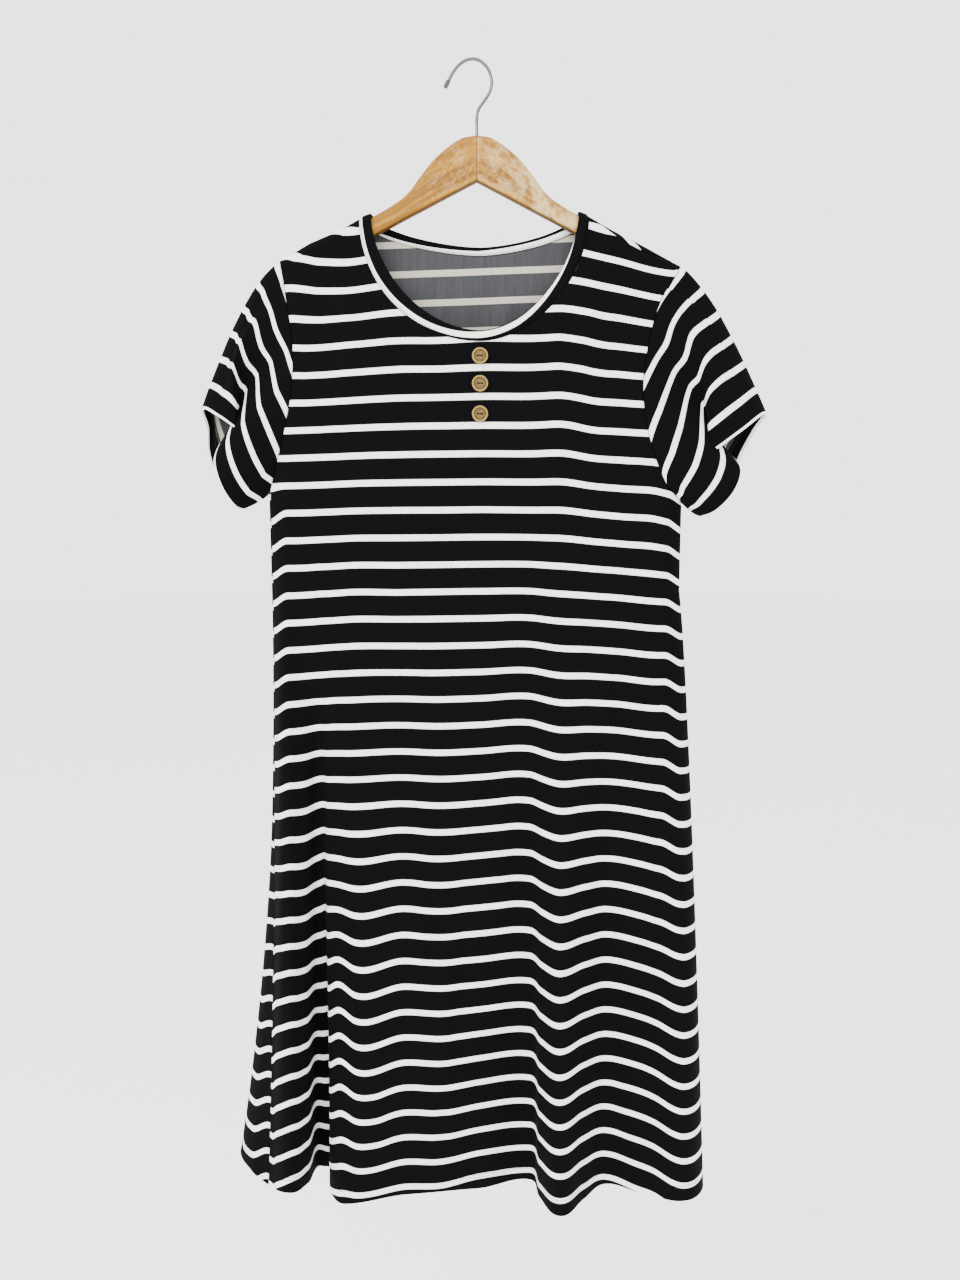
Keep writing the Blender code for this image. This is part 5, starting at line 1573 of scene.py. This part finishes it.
class StageLight(bpy.types.PropertyGroup):
    """Light round the dress."""

    surround: FloatProperty(
        name="Surround", description="Strength of the white surround", default=3.0,
        min=0.0, max=5.0)
    front_power: FloatProperty(
        name="Front Light", description="Power of the large light in front", default=80.0,
        min=0.0, max=500.0, unit="POWER")
    side_power: FloatProperty(
        name="Side Light", description="Power of the light at the upper left", default=110.0,
        min=0.0, max=500.0, unit="POWER")


def jersey_materials(scene):
    """Right side and reverse of the jersey, made once."""
    made = []
    for name, reverse in (("striped_jersey", False), ("jersey_reverse", True)):
        material = bpy.data.materials.get(name)
        made.append(material or jersey(name, scene.dress_sizes, scene.dress_colours, reverse))
    return made


def declare(made, node):
    """Hides the part of model.glb that a piece stands for, and returns the piece."""
    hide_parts(node)
    return made


class DRESS_OT_stage(bpy.types.Operator):
    """Makes the camera, the floor and the light"""

    bl_idname = "dress.stage"
    bl_label = "Stage"

    def execute(self, context):
        scene = context.scene
        lens = bpy.data.cameras.new("camera")
        lens.lens, lens.sensor_width, lens.sensor_height = CAMERA_LENS, CAMERA_SENSOR, CAMERA_SENSOR
        camera = bpy.data.objects.new("camera", lens)
        camera.location = CAMERA_PLACE
        camera.rotation_euler = (math.radians(90 - CAMERA_PITCH), 0, 0)
        scene.collection.objects.link(camera)
        scene.camera = camera
        self.floor(scene)
        self.light(scene, "front_light", *FRONT_LIGHT, scene.stage_light.front_power)
        self.light(scene, "side_light", *SIDE_LIGHT, scene.stage_light.side_power)
        world = scene.world or bpy.data.worlds.new("surround")
        scene.world = world
        world.use_nodes = True
        background = world.node_tree.nodes["Background"]
        background.inputs["Color"].default_value = (1, 1, 1, 1)
        background.inputs["Strength"].default_value = scene.stage_light.surround
        return {"FINISHED"}

    def floor(self, scene):
        """Round floor as a grid of rings, wider apart outwards."""
        rings = np.linspace(0.001, 1, FLOOR_RINGS)[:, None] ** 2 * FLOOR_RADIUS
        turn = np.linspace(0, 2 * math.pi, FLOOR_SIDES, endpoint=False)[None, :]
        points = np.stack(np.broadcast_arrays(rings * np.cos(turn), rings * np.sin(turn),
                                              np.full_like(rings, FLOOR_HEIGHT)), axis=-1)
        row, place = corner_numbers(FLOOR_RINGS, FLOOR_SIDES, True)
        mesh = bpy.data.meshes.new("floor")
        faces = (row * FLOOR_SIDES + place % FLOOR_SIDES).tolist() + [list(range(FLOOR_SIDES))]
        mesh.from_pydata(points.reshape(-1, 3).tolist(), [], faces)
        mesh.materials.append(floor_material(scene.dress_colours))
        floor = bpy.data.objects.new("floor", mesh)
        scene.collection.objects.link(floor)

    def light(self, scene, name, place, size, power):
        """Square soft light that looks at the middle of the dress."""
        lamp = bpy.data.lights.new(name, "AREA")
        lamp.size, lamp.energy = size, power
        made = bpy.data.objects.new(name, lamp)
        made.location = place
        aim = Vector(LIGHT_AIM) - made.location
        made.rotation_euler = aim.to_track_quat("-Z", "Y").to_euler()
        scene.collection.objects.link(made)


class DRESS_OT_body(bpy.types.Operator):
    """Makes the front and the back of the dress"""

    bl_idname = "dress.body"
    bl_label = "Body"

    def execute(self, context):
        materials = jersey_materials(context.scene)
        for name, front in (("front_body", True), ("back_body", False)):
            outer, inner, spots = panel(front, context.scene.dress_sizes)
            declare(cloth_piece(f"{name}_cloth", outer, inner, spots, False, materials), name)
        return {"FINISHED"}


class DRESS_OT_sleeves(bpy.types.Operator):
    """Makes both sleeves"""

    bl_idname = "dress.sleeves"
    bl_label = "Sleeves"

    def execute(self, context):
        sizes = context.scene.dress_sizes
        materials = jersey_materials(context.scene)
        grids = panel(True, sizes), panel(False, sizes)
        for name, rows, table, side in (("sleeve_left", SLEEVE_LEFT, SLEEVE_LENGTH_LEFT, -1),
                                        ("sleeve_right", SLEEVE_RIGHT, SLEEVE_LENGTH_RIGHT, 1)):
            edges = armhole_edges(*grids, side < 0)
            outer, inner, spots = sleeve(rows, table, edges, side, sizes)
            declare(cloth_piece(f"{name}_cloth", outer, inner, spots, True, materials), name)
        return {"FINISHED"}


class DRESS_OT_neckband(bpy.types.Operator):
    """Makes the bound neckband"""

    bl_idname = "dress.neckband"
    bl_label = "Neckband"

    def execute(self, context):
        sizes = context.scene.dress_sizes
        points, spots = neckband(panel(True, sizes)[:2], panel(False, sizes)[:2])
        material = band_material(sizes, context.scene.dress_colours)
        declare(round_piece("neckband_cloth", points[::-1], spots[::-1], [material], "ring"),
                "neckband")
        return {"FINISHED"}


class DRESS_OT_hanger(bpy.types.Operator):
    """Makes both arms of the wooden hanger"""

    bl_idname = "dress.hanger"
    bl_label = "Hanger"

    def execute(self, context):
        for name, side in (("hanger_arm_left", -1), ("hanger_arm_right", 1)):
            points, grain = arm(side)
            material = wood(f"{name}_wood", side, context.scene.dress_colours)
            declare(round_piece(f"{name}_wood", points, grain, [material], "ends"), name)
        return {"FINISHED"}


class DRESS_OT_hook(bpy.types.Operator):
    """Makes the wire hook and its cap"""

    bl_idname = "dress.hook"
    bl_label = "Hook"

    def execute(self, context):
        colours = context.scene.dress_colours
        points = tube(hook_line(WIRE_SPLIT), WIRE_RADIUS, WIRE_SIDES)
        wire = round_piece("hook_wire", points, np.zeros_like(points), [wire_material(colours)], "ends")
        declare(wire, "hook")
        points = hook_tip()
        tip = round_piece("hook_cap", points, np.zeros_like(points), [tip_material(colours)], "ends")
        declare(tip, "hook_tip")
        return {"FINISHED"}


class DRESS_OT_buttons(bpy.types.Operator):
    """Makes the three buttons and the thread that holds them"""

    bl_idname = "dress.buttons"
    bl_label = "Buttons"

    def execute(self, context):
        colours = context.scene.dress_colours
        material, dark = button_material(colours), thread_material(colours)
        for number, (height, turn) in enumerate(zip(BUTTON_HEIGHTS, BUTTON_TURNS), start=1):
            points, spots = button(height, turn)
            made = round_piece(f"button_{number}_wood", points[::-1], spots[::-1], [material], "ends")
            declare(made, f"button_{number}")
            for strand, line in enumerate(thread(height), start=1):
                points = tube(line, THREAD_RADIUS, THREAD_SIDES)
                made = round_piece(f"button_{number}_thread_{strand}", points, np.zeros_like(points),
                                   [dark], "ends")
        return {"FINISHED"}


class DRESS_PT_sidebar(bpy.types.Panel):
    """Lists the pieces of the dress and their sizes and colours"""

    bl_idname = "DRESS_PT_sidebar"
    bl_label = "Tunic Dress"
    bl_space_type = "VIEW_3D"
    bl_region_type = "UI"
    bl_category = "Dress"

    def draw(self, context):
        layout = self.layout
        for operator in OPERATORS:
            layout.operator(operator.bl_idname)
        for group in (context.scene.dress_sizes, context.scene.dress_colours, context.scene.stage_light):
            box = layout.box()
            for name in group.__annotations__:
                box.prop(group, name)


OPERATORS = (DRESS_OT_stage, DRESS_OT_body, DRESS_OT_sleeves, DRESS_OT_neckband, DRESS_OT_hanger,
             DRESS_OT_hook, DRESS_OT_buttons)
GROUPS = {"dress_sizes": DressSizes, "dress_colours": DressColours, "stage_light": StageLight}


def register():
    """Registers the groups, the operators and the panel."""
    for name, group in GROUPS.items():
        bpy.utils.register_class(group)
        setattr(bpy.types.Scene, name, PointerProperty(type=group))
    for operator in OPERATORS + (DRESS_PT_sidebar,):
        bpy.utils.register_class(operator)


def unregister():
    """Removes all that register added."""
    for operator in (DRESS_PT_sidebar,) + OPERATORS[::-1]:
        bpy.utils.unregister_class(operator)
    for name, group in GROUPS.items():
        delattr(bpy.types.Scene, name)
        bpy.utils.unregister_class(group)


def main():
    """Builds every piece in order."""
    register()
    bpy.ops.dress.stage()
    bpy.ops.dress.body()
    bpy.ops.dress.sleeves()
    bpy.ops.dress.neckband()
    bpy.ops.dress.hanger()
    bpy.ops.dress.hook()
    bpy.ops.dress.buttons()


if __name__ == "__main__":
    main()
